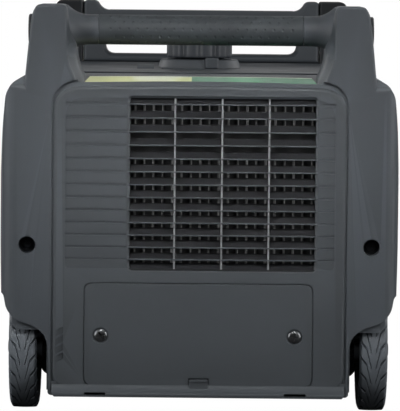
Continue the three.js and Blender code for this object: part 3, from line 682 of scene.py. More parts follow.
def side_cover(side, name):
    bolt = (side * BOLT[0], BOLT[1])
    cover = join(side_shell(side), slanted_tower(side, -END, TOWER_END, 0, 3.2))
    cover = cut(cover, slanted_tower(side, WALL - END, TOWER_END - WALL, WALL, 0.5))
    cover = cut(cover, side_block(side, 155, 185, -286, -228, 320, 380), end_opening(side))
    arch = common(hull(side, 0), wheel_room(side, WELL_RADIUS + WALL, WELL_INNER - WALL))
    seat = common(hull(side, 0), side_block(side, 150, 202.5, NOTCH[0] - WALL, END, NOTCH[1] - WALL, 380))
    recess = side_block(side, 139.5, 170, -286, -283, 330, 371)
    cover = join(cover, arch, seat, recess, rod("Y", bolt, 11.5, -END + 0.5, -270, 32))
    cover = cut(
        cover,
        wheel_room(side, WELL_RADIUS, WELL_INNER),
        face_arch(side),
        side_block(side, 100, NOTCH[2], NOTCH[0], END + 1, NOTCH[1], 400),
        rod("X", AXLE, 7.4, -WIDE, WIDE, 24),
        rod("Y", bolt, 9.5, -END - 1, -260, 40),
        rod("Y", (side * RAIL[0], RAIL[1]), 7.5, NOTCH[0] - 10, NOTCH[0] + 10, 24),
        rod("X", BAR, BAR_RADIUS + 0.4, -WIDE, WIDE, 48),
        *side_vents(side),
    )
    if side > 0:
        cover = cut(cover, door_block(SEAM))
    else:
        y0, y1, z0, z1 = POCKET
        walls = block(-WIDE, WALL - 203, y0 - WALL, y1 + WALL, z0 - WALL, z1 + WALL)
        cover = join(cover, common(hull(side, 0), walls))
        cover = cut(cover, prism(rectangle(y0, y1, z0, z1, 10), "X", -WIDE - 1, -203))
        cover = cut(cover, rod("X", ROPE_EXIT, 4, -WIDE, -190, 24))
    return named(cover, name, 0.7)


def cover_bolts():
    """Flange bolts that hold the covers, deep in their round wells."""
    bolts = []
    for side in (-1, 1):
        centre = (side * BOLT[0], BOLT[1])
        bolts.append(rod("Y", centre, 9.4, -273, -270.5, 48, 0.4))
        profile = [(0, -277), (5.2, -277), (5.8, -276), (5.8, -273), (0, -273)]
        bolts.append(lathe("head", "Y", centre, profile, 6))
    return gather("cover_bolts", bolts)


def make_side_covers():
    put(cover_bolts(), black_plastic, "housing", "black_plastic", edge=0)
    put(side_cover(-1, "left_cover"), charcoal, "housing", "charcoal_plastic", "side_cover_left")
    put(side_cover(1, "right_cover"), charcoal, "housing", "charcoal_plastic", "side_cover_right")
    door = common(side_shell(1), door_block(0))
    door = cut(door, rod("X", DOOR_KNOB, 9.4, 200, 230, 40))
    door.name = "service_door_leaf"
    soften(door, 0.6, 2)
    put(door, charcoal, "service_door", "charcoal_plastic", "service_door")


# ---- louvred end --------------------------------------------------------------------------------
PANEL_HALF = 165.7
PANEL = [
    (-PANEL_HALF, 21.5, 20),
    (PANEL_HALF, 21.5, 20),
    (PANEL_HALF, 364, 31),
    (0, 367.5, 90),
    (-PANEL_HALF, 364, 31),
]
FIELD = [(-151.5, 159, 5), (152.5, 159, 5), (152.5, 351.5, 26), (-151.5, 351.5, 22)]
LOUVRE = [(-79, 158.5, 5), (130.5, 158.5, 5), (130.5, 351.5, 3), (-79, 351.5, 3)]
SERVICE = [(-129, 26.5, 9), (128.5, 26.5, 9), (128.5, 142, 9), (-129, 142, 9)]
SLATS = 13
BARS = (-28.3, 24.9, 78)
SCREWS = (-110.5, 108.5)
SCREW_Z = 82.5


def slat_height(i):
    """From the highest slat (0) to the lowest: the gaps narrow a little on the way down."""
    return 345 - 15.65 * i + 0.088 * i * i


def flared_hole(corners, front, straight, back, flare):
    """A hole tool along Y, wider at the front by the flare."""
    rings = [
        (outline(inset(corners, -flare)), front - 1),
        (outline(inset(corners, -flare)), front),
        (outline(corners), straight),
        (outline(corners), back),
    ]
    return stack("hole", rings, "Y")


def blind_grooves():
    tools = []
    for i in range(SLATS):
        z = slat_height(i)
        half = 1.7 - 0.075 * i
        corners = [(-293, z - half - 0.4), (-290.2, z - half), (-290.2, z + half), (-293, z + half + 0.4)]
        tools.append(prism(corners, "X", -151.5, -83))
        tools.append(prism(corners, "X", 134.5, 152.5))
    return gather("grooves", tools)


def corner_vents():
    """Four slanted scoops beside the service cover, deeper towards the middle of the panel."""
    scoops = []
    for i in range(4):
        low, high = 54.2 + 9.9 * i, 61.4 + 9.9 * i
        outer, inner = -161.8, -153
        front = [(outer, -293, low - 3), (inner, -293, low + 1.6)]
        front += [(inner, -293, high + 1.6), (outer, -293, high - 3)]
        deep = (-292.02, -289.3, -289.3, -292.02)
        back = [(x, y, z) for (x, _, z), y in zip(front, deep)]
        faces = [(0, 1, 2, 3), (7, 6, 5, 4), (0, 4, 5, 1), (1, 5, 6, 2), (2, 6, 7, 3), (3, 7, 4, 0)]
        scoops.append(piece("scoop", front + back, faces))
        slit = [(-156.6, low + 0.4), (-153.4, low + 1.9), (-153.4, high + 0.8), (-156.6, high - 0.6)]
        scoops.append(prism(slit, "Y", -291, -286))
    return gather("vents", scoops)


def rear_panel():
    panel = pillow(PANEL, "Y", -292, -286, 4.6, both=False, steps=14, rounds=8, name="end_panel")
    field = prism(FIELD, "Y", -293, -291.15, steps=12)
    hollow = prism(inset(PANEL, 5.4), "Y", -289, -280, steps=10)
    ledge = cut(prism(inset(SERVICE, -6), "Y", -289.5, -286), prism(inset(SERVICE, 6), "Y", -295, -280))
    panel = cut(panel, hollow, field, blind_grooves(), corner_vents())
    panel = cut(panel, flared_hole(LOUVRE, -291.2, -289.4, -280, 2.6))
    panel = cut(panel, prism(inset(SERVICE, -1.2), "Y", -294, -289.1, steps=10))
    panel = join(panel, ledge)
    panel = cut(panel, prism(inset(SERVICE, 6), "Y", -294, -280))
    return named(panel, "end_panel", 0.35, 28)


def service_cover():
    wells = [rod("Y", (x, SCREW_Z), 9.3, -293, -290.5, 48) for x in SCREWS]
    cover = pillow(SERVICE, "Y", -292, -289.4, 0.9, both=False, steps=10, rounds=4, name="battery_cover")
    cover = cut(cover, *wells, block(-11, 12, -294, -288, 20, 34.8))
    return named(cover, "battery_cover", 0.25)


def cover_screw(x, name):
    """A pan head with a cross recess, in its well."""
    profile = [(0, -292.35), (2.6, -292.3), (5.0, -292.0), (6.6, -291.4), (7.5, -290.4), (7.5, -289.6)]
    head = lathe("head", "Y", (x, SCREW_Z), profile + [(0, -289.6)], 48)
    turn = 0.32 if x < 0 else -0.2
    arms = []
    for k in range(2):
        angle = turn + math.pi / 2 * k
        along = Vector((math.cos(angle), math.sin(angle)))
        across = Vector((-along.y, along.x))
        middle = Vector((x, SCREW_Z))
        ends = [(-5.4, 0.5), (-1.5, 1.0), (0, 1.6), (1.5, 1.0), (5.4, 0.5)]
        upper = [middle + along * a + across * w for a, w in ends]
        lower = [middle + along * a - across * w for a, w in reversed(ends)]
        arms.append(prism([tuple(p) for p in lower + upper], "Y", -293, -290.6))
    head = cut(head, *arms)
    return named(head, name, 0.15, 40)


def latch():
    tab = pillow(rectangle(-10, 11, 18.4, 33.6, 1.5), "Y", -293.4, -289.5, 0.7, both=False, name="latch")
    lip = pillow(rectangle(-9, 10, 30.6, 33.2, 1), "Y", -294.6, -293, 0.5, both=False)
    tab = join(tab, lip)
    return named(tab, "cover_latch", 0.3)


def louvre_slats():
    """Slats that rise towards the back, like rain louvres."""
    slats, lips = [], []
    for i in range(SLATS):
        z = slat_height(i) - 0.5
        rise = 8.0 if i < SLATS - 1 else 7.0
        section = [(-290.6, z - 0.9), (-282.6, z + rise - 1.2), (-282.6, z + rise), (-290.8, z + 0.7)]
        slats.append(prism(section, "X", -79.5, 131))
        lip = [(-291.5, z - 0.9, 0.3), (-290.4, z - 0.9), (-290.4, z + 0.8), (-291.5, z + 0.8, 0.3)]
        lips.append(prism(lip, "X", -81.2, 132.6, steps=3))
    section = [(-290.6, 153.1), (-290.6, 158.7), (-282.6, 165), (-282.6, 153.1)]
    slats.append(prism(section, "X", -79.5, 131))
    bars = []
    for x in BARS:
        section = [(x - 1.05, -291.0, 0.4), (x + 1.05, -291.0, 0.4), (x + 0.8, -284), (x - 0.8, -284)]
        bars.append(prism(section, "Z", 158.7, 351.3, steps=3))
    frame_ring = cut(
        prism(inset(LOUVRE, -5), "Y", -288.6, -282.5),
        prism(inset(LOUVRE, 0.2), "Y", -289, -282),
    )
    return gather("slats", slats + [frame_ring]), gather("lips", lips), gather("bars", bars)


def heat_guard():
    plate = block(-90, 138.5, -277.8, -276.5, 145, 359)
    band = block(-89, 137.5, -279.4, -277.6, 287, 312)
    ribs = []
    for k in range(21):
        x = -84.2 + 10.56 * k
        for low, high in ((146, 286.5), (312.5, 358)):
            section = [(x - 1.3, -277.6), (x - 0.9, -280.2, 0.5), (x + 0.9, -280.2, 0.5), (x + 1.3, -277.6)]
            ribs.append(prism(section, "Z", low, high, steps=3))
    return gather("heat_guard", [plate, band]), gather("guard_ribs", ribs)


def seam_flanges():
    """The cover's flange behind the panel's seam."""
    outer = inset(PANEL, -4)
    hole = prism(inset(PANEL, 4), "Y", -291, -286, steps=14)
    ring = cut(prism(outer, "Y", -289.3, -287.6, steps=14), hole)
    ring.name = "seam_flange"
    return ring


def scoop_shade_strip():
    """A near-black strip behind the corner scoops, painted shade for their depth."""
    return block(-158.5, -151.5, -288.9, -287.9, 50, 97, "scoop_shade_strip")


def make_rear():
    # The strip behind the scoops is painted shade, not a part of the generator.
    put(scoop_shade_strip(), painted_shade_plastic, "housing", "black_plastic", edge=0)
    put(seam_flanges(), panel_plastic, "housing", "panel_plastic", edge=0)
    put(rear_panel(), panel_plastic, "housing", "panel_plastic", "rear_end_panel")
    put(service_cover(), panel_plastic, "housing", "panel_plastic", "service_cover")
    for x, side in zip(SCREWS, ("left", "right")):
        screw = cover_screw(x, "cover_screw_" + side)
        put(screw, dark_zinc, "housing", "steel", "service_cover_screw_" + side)
    put(latch(), panel_plastic, "housing", "panel_plastic", "service_cover_latch")
    slats, lips, bars = louvre_slats()
    slats.name, lips.name, bars.name = "louvre_slats", "louvre_lips", "louvre_bars"
    # The slats and their frame are drawn near-black as painted shade under and behind them; their lips keep a
    # tone close to the panel's.
    put(slats, painted_shade_plastic, "housing", "panel_plastic", "louvre_grille", edge=0)
    put(lips, slat_plastic, "housing", "panel_plastic", edge=0)
    put(bars, bar_plastic, "housing", "panel_plastic", edge=0)
    plate, ribs = heat_guard()
    put(plate, guard_steel, "housing", "dark_steel", "inner_guard", edge=0)
    # The ribs are drawn lighter than their plate as a painted highlight.
    put(ribs, painted_highlight_rib_steel, "housing", "dark_steel", edge=0)


# ---- top cover ----------------------------------------------------------------------------------
DECK_HALF = 166.9
CAP = (-2, 0)


def deck_height(y):
    """The deck's crest line: it rolls down to the louvred end."""
    points = [(-288.4, 366.5), (-280, 369.0), (-245, 374.7), (-222, 376.6), (-200, 377.5), (288, 377.5)]
    for (y0, z0), (y1, z1) in zip(points, points[1:]):
        if y <= y1:
            return z0 + (z1 - z0) * (y - y0) / (y1 - y0)
    return points[-1][1]


def crown(x, y):
    """How far the deck falls from its crest towards the sides at the louvred end."""
    fade = min(max((-230 - y) / 50, 0), 1)
    return 3.2 * (abs(x) / 150) ** 2 * fade


def deck_grid(name, half, y0, y1, lift, columns, rows, taper=0.0, thick=3.0):
    """A sheet that follows the deck, with its own thickness."""
    xs = [-1 + 2 * i / columns for i in range(columns + 1)]
    ys = [y0 + (y1 - y0) * (j / rows) for j in range(rows + 1)]
    upper, lower = [], []
    for y in ys:
        width = half - taper * (y - y0) / (y1 - y0)
        for t in xs:
            z = deck_height(y) - crown(t * width, y) + lift
            upper.append((t * width, y, z))
            lower.append((t * width, y, z - thick))
    verts = upper + lower
    n, m = columns + 1, len(upper)
    faces = []
    for j in range(rows):
        for i in range(columns):
            a = j * n + i
            faces.append((a, a + 1, a + n + 1, a + n))
            faces.append((m + a, m + a + n, m + a + n + 1, m + a + 1))
    rim = list(range(n)) + [j * n + columns for j in range(1, rows + 1)]
    rim += [rows * n + i for i in range(columns - 1, -1, -1)] + [j * n for j in range(rows - 1, 0, -1)]
    for a, b in zip(rim, rim[1:] + rim[:1]):
        faces.append((a, m + a, m + b, b))
    return piece(name, verts, faces)


def top_cover():
    deck = deck_grid("deck", DECK_HALF, -287.6, 288, 0, 24, 60)
    lip = deck_grid("lip", DECK_HALF, -288.4, -285.2, -0.6, 24, 1, thick=9.5)
    cover = join(deck, lip)
    corners = []
    for side in (-1, 1):
        corners.append(side_block(side, 149.6, 170, -300, -221.6, 340, 390))
        corners.append(side_block(side, 151.2, 170, 223.6, 300, 340, 390))
    cover = cut(cover, *corners, rod("Z", CAP, 36, 350, 390, 48))
    ridge = pillow(rectangle(-142, 142, -214, -211, 1), "Z", 377, 378.4, 0.5)
    cover.name = "deck_cover"
    soften(cover, 0.5, 2, 40)
    return cover, ridge


def deck_label():
    """Two-colour printed film with a light border, on the slope above the louvres."""
    return deck_grid("deck_label", 134, -286.9, -247, 0.42, 40, 12, taper=8, thick=0.5)


def label_material():
    material, tree, shader = new_material("label_film")
    where = add(tree, "ShaderNodeSeparateXYZ")
    tree.links.new(coordinates(tree), where.inputs["Vector"])
    split = remap(tree, where.outputs["X"], 0.0, 1.0, -0.0105, -0.0100)
    patch = remap(tree, noise_of(tree, 17, 1, 0.3), 0.0, 1.0, 0.48, 0.6)
    yellow = mix_colour(tree, patch, (0.50, 0.53, 0.22, 1), (0.60, 0.63, 0.47, 1))
    green = mix_colour(tree, patch, (0.018, 0.16, 0.07, 1), (0.05, 0.24, 0.115, 1))
    field = mix_colour(tree, split, yellow, green)
    low = remap(tree, where.outputs["Y"], 1.0, 0.0, -0.2862, -0.2856)
    high = remap(tree, where.outputs["Y"], 0.0, 1.0, -0.2492, -0.2486)
    edge = add(tree, "ShaderNodeMath", operation="MAXIMUM")
    tree.links.new(low, edge.inputs[0])
    tree.links.new(high, edge.inputs[1])
    colour = mix_colour(tree, edge.outputs["Value"], field, (0.62, 0.66, 0.50, 1))
    tree.links.new(colour, shader.inputs["Base Color"])
    tree.links.new(remap(tree, noise_of(tree, 70, 3), 0.3, 0.42), shader.inputs["Roughness"])
    return material


# ---- fixed carrying bar -------------------------------------------------------------------------
def dimple(angle, t, rows, pitch, across, along):
    """Depth factor of the nearest dimple at an angle (radians) and distance t along the bar."""
    best = 0.0
    for k, row in enumerate(rows):
        shift = pitch / 2 if k % 2 else 0
        near = (t + shift) / pitch
        gap = (near - round(near)) * pitch
        swing = (angle - row + math.pi) % (2 * math.pi) - math.pi
        d = (gap / along) ** 2 + (swing / across) ** 2
        if d < 1:
            best = max(best, (1 - d) ** 1.5)
    return best


def grip_sleeve(name, y, z, inner, outer, half, rows, depth=1.0, pitch=10.25, limit=104):
    """A rubber sleeve along X with rows of shallow dimples."""
    step = 0.55
    count = int(2 * half / step)
    profile = [(inner, -half), (outer - 0.5, -half), (outer, 0.5 - half)]
    profile += [(outer, -half + 0.8 + (2 * half - 1.6) * k / count) for k in range(1, count)]
    profile += [(outer, half - 0.5), (outer - 0.5, half), (inner, half)]

    def surface(angle, radius, t):
        if abs(radius - outer) > 0.01 or abs(t) > limit:
            return radius
        return radius - depth * dimple(angle, t, rows, pitch, 0.125, 1.75)

    return lathe(name, "X", (y, z), profile, 160, surface)


def flared_bar():
    """The bar's plastic: slim under the sleeve, a shoulder, then a flare into each tower."""
    half = [(13, 0), (13, 116), (16.7, 116), (17, 116.3), (17, 126)]
    for k in range(1, 13):
        t = k / 12
        half.append((17 + 10.5 * t ** 2.3, 126 + 25.0 * t))
    half += [(27.5, 153), (17, 153), (17, 183), (0, 183)]
    left = [(r, -t) for r, t in reversed(half)]
    return lathe("carrying_bar", "X", BAR, left + half[1:], 96)


def bar_cap(side):
    profile = [(0, 184), (17, 184), (17, 194), (15.6, 195.2), (12, 195.4), (11.5, 194.6), (0, 194.6)]
    cap = lathe("bar_cap", "X", BAR, mirrored(side, profile), 48)
    return soften(cap, 0.4, 2)


# ---- carrying loop at the control end -----------------------------------------------------------
def front_loop():
    corners = [
        (-150.6, 377.9),
        (150.6, 377.9),
        (150.6, 456, 6),
        (134, 456, 5),
        (126, 443.5, 9),
        (-126, 443.5, 9),
        (-134, 456, 5),
        (-150.6, 456, 6),
    ]
    window = [(-122, 388, 12), (122, 388, 12), (122, 415, 9), (-122, 415, 9)]
    loop = pillow(corners, "Y", 226, 270, 4.5, rounds=6, name="loop")
    loop = cut(loop, flared_loop_hole(window))
    return named(loop, "front_loop", 0.5, 30)


def flared_loop_hole(window):
    rings = []
    for y, flare in ((225, 6), (228, 2.6), (233, 0.6), (238, 0), (258, 0), (263, 0.6), (268, 2.6), (271, 6)):
        rings.append((outline(inset(window, -flare), 10), y))
    return stack("hole", rings, "Y")


# ---- fuel filler --------------------------------------------------------------------------------
def filler_neck():
    skirt = [(22.6, 366), (27, 366), (27, 374), (35, 374), (35, 377.9), (50, 377.9), (49.4, 380)]
    dome = [(47.4, 386), (46, 387.6), (44, 388), (31, 388.4), (27.6, 389.5), (27, 392)]
    neck = lathe("filler_neck", "Z", CAP, skirt + dome + [(27, 404), (22.6, 404)], 96)
    lug = pillow(rectangle(5, 21, -53, -38, 3), "Z", 377.9, 390.5, 1.4, name="lug")
    neck = join(neck, lug)
    return named(neck, "filler_neck", 0.5)


def cap_lobes(angle, radius, _height):
    """Twelve broad flutes, fading out at the rim and under the top."""
    if radius < 36:
        return radius
    wave = 0.5 + 0.5 * math.cos(12 * angle)
    return radius - 2.4 * wave ** 3


def fuel_cap():
    profile = [(0, 407), (28, 407), (28, 390), (38.2, 390), (39.7, 391.2), (40, 393), (40, 427), (39.4, 430),
               (37.4, 431.6), (34, 432), (29, 431.9), (27.5, 431.0), (0, 431.0)]
    return soften(lathe("cap", "Z", CAP, profile, 240, cap_lobes), 0, angle=50)


def vent_lever():
    disc = rod("Z", CAP, 9, 432.4, 437, 40, 0.8)
    arm = pillow(rectangle(-5, 20, -3, 3, 2.6), "Z", 432.4, 437, 0.8)
    lever = join(disc, arm)
    return named(lever, "cap_vent_lever", 0.2)


def deck_details():
    """Small tabs and ribs moulded on the deck, beside the filler."""
    tab = prism([(-60, 377.2), (-30, 377.2), (-30, 382), (-51, 382)], "X", -76, -56)
    rib = pillow(rectangle(-47, 3, -66, -63.4, 1), "Z", 377.2, 379.4, 0.5)
    return gather("deck_details", [tab, rib])


def make_top():
    cover, ridge = top_cover()
    put(cover, charcoal, "housing", "charcoal_plastic", "top_cover")
    details = gather("deck_ribs", [ridge, deck_details()])
    put(details, charcoal, "housing", "charcoal_plastic", edge=0)
    put(deck_label(), label_material(), "housing", "label_film", "top_label", edge=0)
    put(flared_bar(), charcoal, "housing", "charcoal_plastic", "rear_handle_bar", edge=0)
    rows = [math.pi + d for d in (-1.03, -0.55, -0.06, 0.45, 0.95)]
    grip = grip_sleeve("carrying_grip", *BAR, 13.3, 17, 115.6, rows)
    put(grip, grip_rubber, "housing", "grip_rubber", "rear_handle_grip", edge=0, angle=70)
    for side, name in SIDES:
        put(bar_cap(side), black_plastic, "housing", "black_plastic", "rear_handle_cap_" + name)
    put(front_loop(), charcoal, "housing", "charcoal_plastic", "front_handle")
    rows = [math.pi * 2 * k / 9 for k in range(9)]
    front_grip = grip_sleeve("loop_grip", 248, 429, 12.3, 15, 118, rows)
    put(front_grip, grip_rubber, "housing", "grip_rubber", "front_handle_grip", edge=0, angle=70)
    put(filler_neck(), charcoal, "housing", "charcoal_plastic", "fuel_filler_neck")
    put(fuel_cap(), cap_plastic, "fuel_cap", "black_plastic", "fuel_cap")
    put(vent_lever(), cap_plastic, "vent_lever", "black_plastic", "fuel_cap_vent_lever")


# ---- wheels -------------------------------------------------------------------------------------
WHEEL_IN, WHEEL_OUT, WHEEL_R = 183.0, 215.0, 70.0
CHEVRONS = 24
TREAD_DEPTH = 2.6


def tyre_radius(x):
    """The crown's radius across the tread, from the inner to the outer shoulder."""
    across = (x - (WHEEL_IN + WHEEL_OUT) / 2) / ((WHEEL_OUT - WHEEL_IN) / 2)
    if abs(across) > 0.78:
        return WHEEL_R - 0.5 - 5.5 * ((abs(across) - 0.78) / 0.22) ** 2
    return WHEEL_R - 0.5 * (across / 0.78) ** 2


def groove_at(across, angle):
    """How deep the tread is cut, 0 to 1. Each groove slopes in from a shoulder, then turns round the
    tyre, and stops short of the centre line."""
    pitch = 2 * math.pi / CHEVRONS
    reach = abs(across)
    if reach < 0.13:
        return 0.0
    if reach > 0.5:
        run = (1 - reach) * 1.05 * pitch
    else:
        run = 0.5 * 1.05 * pitch + (0.5 - reach) / 0.37 * 1.35 * pitch
    turned = (angle - run) / pitch
    away = abs(turned - round(turned)) * pitch * WHEEL_R
    wide = 1.7 if reach > 0.5 else 1.5 * math.sin(math.atan2(0.37 * 16, 1.35 * pitch * WHEEL_R)) + 0.9
    fade = min((reach - 0.13) / 0.06, 1)
    return max(0.0, min(1.0, (wide - away) / 0.7)) * fade


def tyre(side):
    columns = 56
    rows = 1440
    verts, faces = [], []
    half = (WHEEL_OUT - WHEEL_IN) / 2
    tread = [-1 + 2 * i / columns for i in range(columns + 1)]
    section = [(46, WHEEL_IN + 3), (52, WHEEL_IN + 1.2), (60, WHEEL_IN + 0.4)]
    outer = [(60, WHEEL_OUT - 0.4), (52, WHEEL_OUT - 1.2), (46, WHEEL_OUT - 3)]
    n = len(section) + columns + 1 + len(outer)
    for k in range(rows):
        angle = 2 * math.pi * k / rows
        c, s = math.cos(angle), math.sin(angle)
        points = list(section)
        for across in tread:
            x = (WHEEL_IN + WHEEL_OUT) / 2 + across * half
            points.append((tyre_radius(x) - TREAD_DEPTH * groove_at(across, angle), x))
        points += outer
        for r, x in points:
            verts.append((side * x, AXLE[0] + r * c, AXLE[1] + r * s))
    for k in range(rows):
        m = (k + 1) % rows
        for i in range(n):
            j = (i + 1) % n
            faces.append((k * n + i, k * n + j, m * n + j, m * n + i))
    made = piece("tyre_tread", verts, faces)
    made.data.shade_smooth()
    made.data.set_sharp_from_angle(angle=math.radians(50))
    return made


def rim(side):
    """A five-spoke plastic rim in the tyre."""
    section = [(41, 187), (45.8, 186), (45.8, 212), (43.5, 212.6), (41, 211)]
    bead = lathe("bead", "X", AXLE, mirrored(side, section), 96)
    section = [(8, 196), (42, 194), (42, 200), (8, 203)]
    web = lathe("web", "X", AXLE, mirrored(side, section), 96)
    holes = []
    for k in range(5):
        angle = 2 * math.pi * (k + 0.5) / 5
        corners = []
        for r, spread in ((21, -0.34), (37, -0.44), (37, 0.44), (21, 0.34)):
            a = angle + spread
            corners.append((AXLE[0] + r * math.cos(a), AXLE[1] + r * math.sin(a), 4))
        holes.append(prism(corners, "X", min(side * 180, side * 215), max(side * 180, side * 215)))
    web = cut(web, *holes)
    ends = (side * 179, side * 214)
    hub = tube("X", AXLE, 7.4, 15, min(ends), max(ends), 64)
    made = join(web, bead, hub)
    return named(made, "rim", 0.6)


def axle():
    bar = rod("X", AXLE, 7, -215.6, 215.6, 40)
    caps = []
    for side in (-1, 1):
        profile = [(0, 219), (6, 218.8), (9, 218), (10, 216.6), (10, 215.6), (0, 215.6)]
        caps.append(lathe("axle_cap", "X", AXLE, mirrored(side, profile), 48))
    return gather("axle_bar", [bar] + caps)


def make_wheels():
    for side, name in SIDES:
        put(tyre(side), tyre_rubber, "wheel_" + name, "tyre_rubber", "tyre_" + name)
        put(rim(side), black_plastic, "wheel_" + name, "black_plastic", "wheel_rim_" + name)
    put(axle(), dark_zinc, "housing", "steel", "axle", edge=0.2)


# ---- base ---------------------------------------------------------------------------------------
def base_lip(side):
    """The lip under an end: it flows out of the end wall, with two drain slots."""
    section = [(287, 27), (292.2, 27), (293.2, 23.5), (296.5, 20.5), (299.2, 18.6)]
    section += [(300, 16.6), (299.6, 13.6), (297.5, 12.2), (294, 12), (287, 12)]
    profile = [(side * y, z) for y, z in section]
    lip = prism(profile if side > 0 else profile[::-1], "X", -165.4, 165.4)
    outline_ends = [(-165.4, 12, 9), (165.4, 12, 9), (165.4, 40), (-165.4, 40)]
    lip = common(lip, prism(outline_ends, "Y", -310, 310))
    lip = cut(lip, block(-180, 180, -310, 310, 10, 13.6))
    wing = []
    for s in (-1, 1):
        corners = on_side(s, [(160, 14.2), (171, 14.2, 6), (168.6, 30), (160, 30)])
        depth = (286.5, 291.4) if side > 0 else (-291.4, -286.5)
        wing.append(prism(corners, "Y", *depth))
    lip = join(lip, *wing)
    if side < 0:
        for x0, x1 in ((-129, -104), (97, 122)):
            lip = cut(lip, pillow(rectangle(x0, x1, 15.6, 18.8, 1.5), "Y", -310, -285, 0.2))
    return lip


def base_tray():
    tray = pillow(rectangle(-165.6, 165.6, -288, 288, 12), "Z", 12, 60, 2, both=False)
    room = prism(rectangle(-162.6, 162.6, -285, 285, 9), "Z", 15, 80)
    tray = cut(tray, room)
    bearings = [side_block(s, 150, 164.6, -232, -200, 13, 86) for s in (-1, 1)]
    tray = join(tray, *bearings)
    return cut(tray, rod("X", AXLE, 7.4, -200, 200, 32))


def engine_mounts():
    mounts = []
    for x in (-44, 64):
        for y in (-60, 100):
            mounts.append(rod("Z", (x, y), 14, 15, 35.6, 32, 2))
    return gather("engine_mounts", mounts)


def foot(side):
    profile = [(0, -9), (20, -9), (20, -6), (17.4, 11.6), (0, 11.6)]
    return lathe("foot", "Z", (side * 120, 250), profile, 64)


def make_base():
    for side, name in ((-1, "rear_lip"), (1, "front_lip")):
        lip = base_lip(side)
        lip.name = name
        put(lip, panel_plastic, "housing", "charcoal_plastic", edge=0.4, angle=40)
    tray = base_tray()
    tray.name = "base_tray"
    put(tray, black_plastic, "housing", "black_plastic", "base_pan", edge=0.5)
    put(engine_mounts(), foot_rubber, "housing", "grip_rubber", edge=0)
    for side, name in SIDES:
        rubber_foot = soften(foot(side), 0.8, 3)
        put(rubber_foot, foot_rubber, "housing", "grip_rubber", "front_foot_" + name)


# ---- pull-out handle ----------------------------------------------------------------------------
PULL = (283, 427)
RELEASE = (-166, 420)


def pull_tower(side):
    corners = on_side(
        side,
        [
            (151.6, 331.4, 2),
            (198, 331.4, 2),
            (198, 366, 6),
            (194, 412, 12),
            (188.5, 446, 6),
            (182, 456, 5),
            (151.6, 456, 4),
        ],
    )
    body = pillow(corners, "Y", 224.4, 292, 2.4, name="tower")
    plan = on_side(side, [(140, 200), (200, 200), (200, 292, 16), (140, 292)])
    body = common(body, prism(plan, "Z", 300, 470, steps=10))
    grooves = [side_block(side, 156, 186, 291, 293, 352 + 11 * k, 355 + 11 * k) for k in range(4)]
    return cut(body, *grooves)


def pull_frame():
    bar = lathe("bar", "X", PULL, [(8, -160), (8, 160), (0, 160.5), (0, -160.5)], 48)
    flares = []
    for side in (-1, 1):
        profile = [(8, 139), (11, 140.6), (11, 145), (14.5, 151.8), (14.5, 156), (0, 156), (0, 139)]
        flares.append(lathe("flare", "X", PULL, mirrored(side, profile), 48))
    rails = [rod("Y", (s * RAIL[0], RAIL[1]), 7, -198, 240, 40, 1.5) for s in (-1, 1)]
    frame_shape = join(pull_tower(-1), pull_tower(1), bar, *flares)
    frame_shape = cut(frame_shape, rod("Y", RELEASE, 8.4, 280, 300, 48))
    return frame_shape, gather("pull_rails", rails)


def release_button():
    profile = [(0, 286), (8, 286), (8, 293.6), (7.2, 294.7), (5.5, 295), (4, 294.4), (0, 294.2)]
    return soften(lathe("release_button", "Y", RELEASE, profile, 64), 0.1, 2, 40)


def make_pull_handle():
    towers, rails = pull_frame()
    towers.name = "pull_towers"
    put(towers, black_plastic, "pull_handle", "black_plastic", "pull_handle_frame", edge=0.4)
    put(rails, zinc, "pull_handle", "black_plastic", edge=0)
    rows = [math.pi * 2 * k / 7 for k in range(7)]
    grip = grip_sleeve("pull_grip", *PULL, 8.3, 11, 140, rows, 0.8, limit=130)
    put(grip, grip_rubber, "pull_handle", "grip_rubber", "pull_handle_grip", edge=0, angle=70)
    put(release_button(), signal_red, "handle_release", "red_plastic", "handle_release_button")


# ---- service door knob and starter handle -------------------------------------------------------
def door_knob():
    disc = rod("X", DOOR_KNOB, 9, 217, 224, 48, 0.7)
    bar = block(223.5, 224.9, 72, 84, 223.5, 226.5)
    tab = block(217, 219, 77, 89, 222, 228)
    knob = join(disc, bar, tab)
    return named(knob, "door_knob", 0.3)


def starter_handle():
    """A T-grip that lies in its pocket, waisted round the rope's hole."""
    profile = [(0, -18), (5.5, -17.6), (7.9, -15), (8.5, -10)]
    for k in range(1, 12):
        t = k / 12
        profile.append((8.5 - 1.2 * math.sin(math.pi * t) ** 2, -10 + 60 * t))
    profile += [(8.5, 50), (7.9, 55), (5.5, 57.6), (0, 58)]
    grip = lathe("grip", "Y", (-214.3, 230), profile, 64)
    profile = [(0, -197), (3.4, -197.4), (3.8, -203), (6, -208), (6, -214), (0, -214)]
    neck = lathe("neck", "X", ROPE_EXIT, profile, 40)
    grip = join(grip, neck)
    return named(grip, "starter_grip", 0.4)


def starter_rope():
    """Seen only when the handle is pulled: it runs from the recoil dish out to the grip."""
    start, end = -190.0, -199.5
    rings = []
    steps = 120
    for k in range(steps + 1):
        x = start + (end - start) * k / steps
        points = []
        for j in range(16):
            angle = 2 * math.pi * j / 16
            twist = 1 + 0.06 * math.cos(3 * (angle + 2 * math.pi * k / 12))
            r = ROPE_RADIUS * twist
            points.append(Vector((ROPE_EXIT[0] + r * math.cos(angle), ROPE_EXIT[1] + r * math.sin(angle))))
        rings.append((points, x))
    rope = stack("starter_rope", rings, "X")
    rope.data.shade_smooth()
    return rope


def make_starter():
    put(door_knob(), black_plastic, "service_door_knob", "black_plastic", "service_door_knob")
    put(starter_handle(), black_plastic, "recoil_handle", "black_plastic", "recoil_handle")
    rope = wear(starter_rope(), rope_cord)
    rope.data.transform(Matrix.Translation((0, 0, RIDE)))
    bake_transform(rope)


# ---- control end --------------------------------------------------------------------------------
DIAL = (98, 300)
START_BUTTON = (40, 302)
BREAKER = (30, 148)
GROUND = (-100, 148)
PANEL_SCREWS = [(x, z) for x in (-152, 152) for z in (34, 318)]


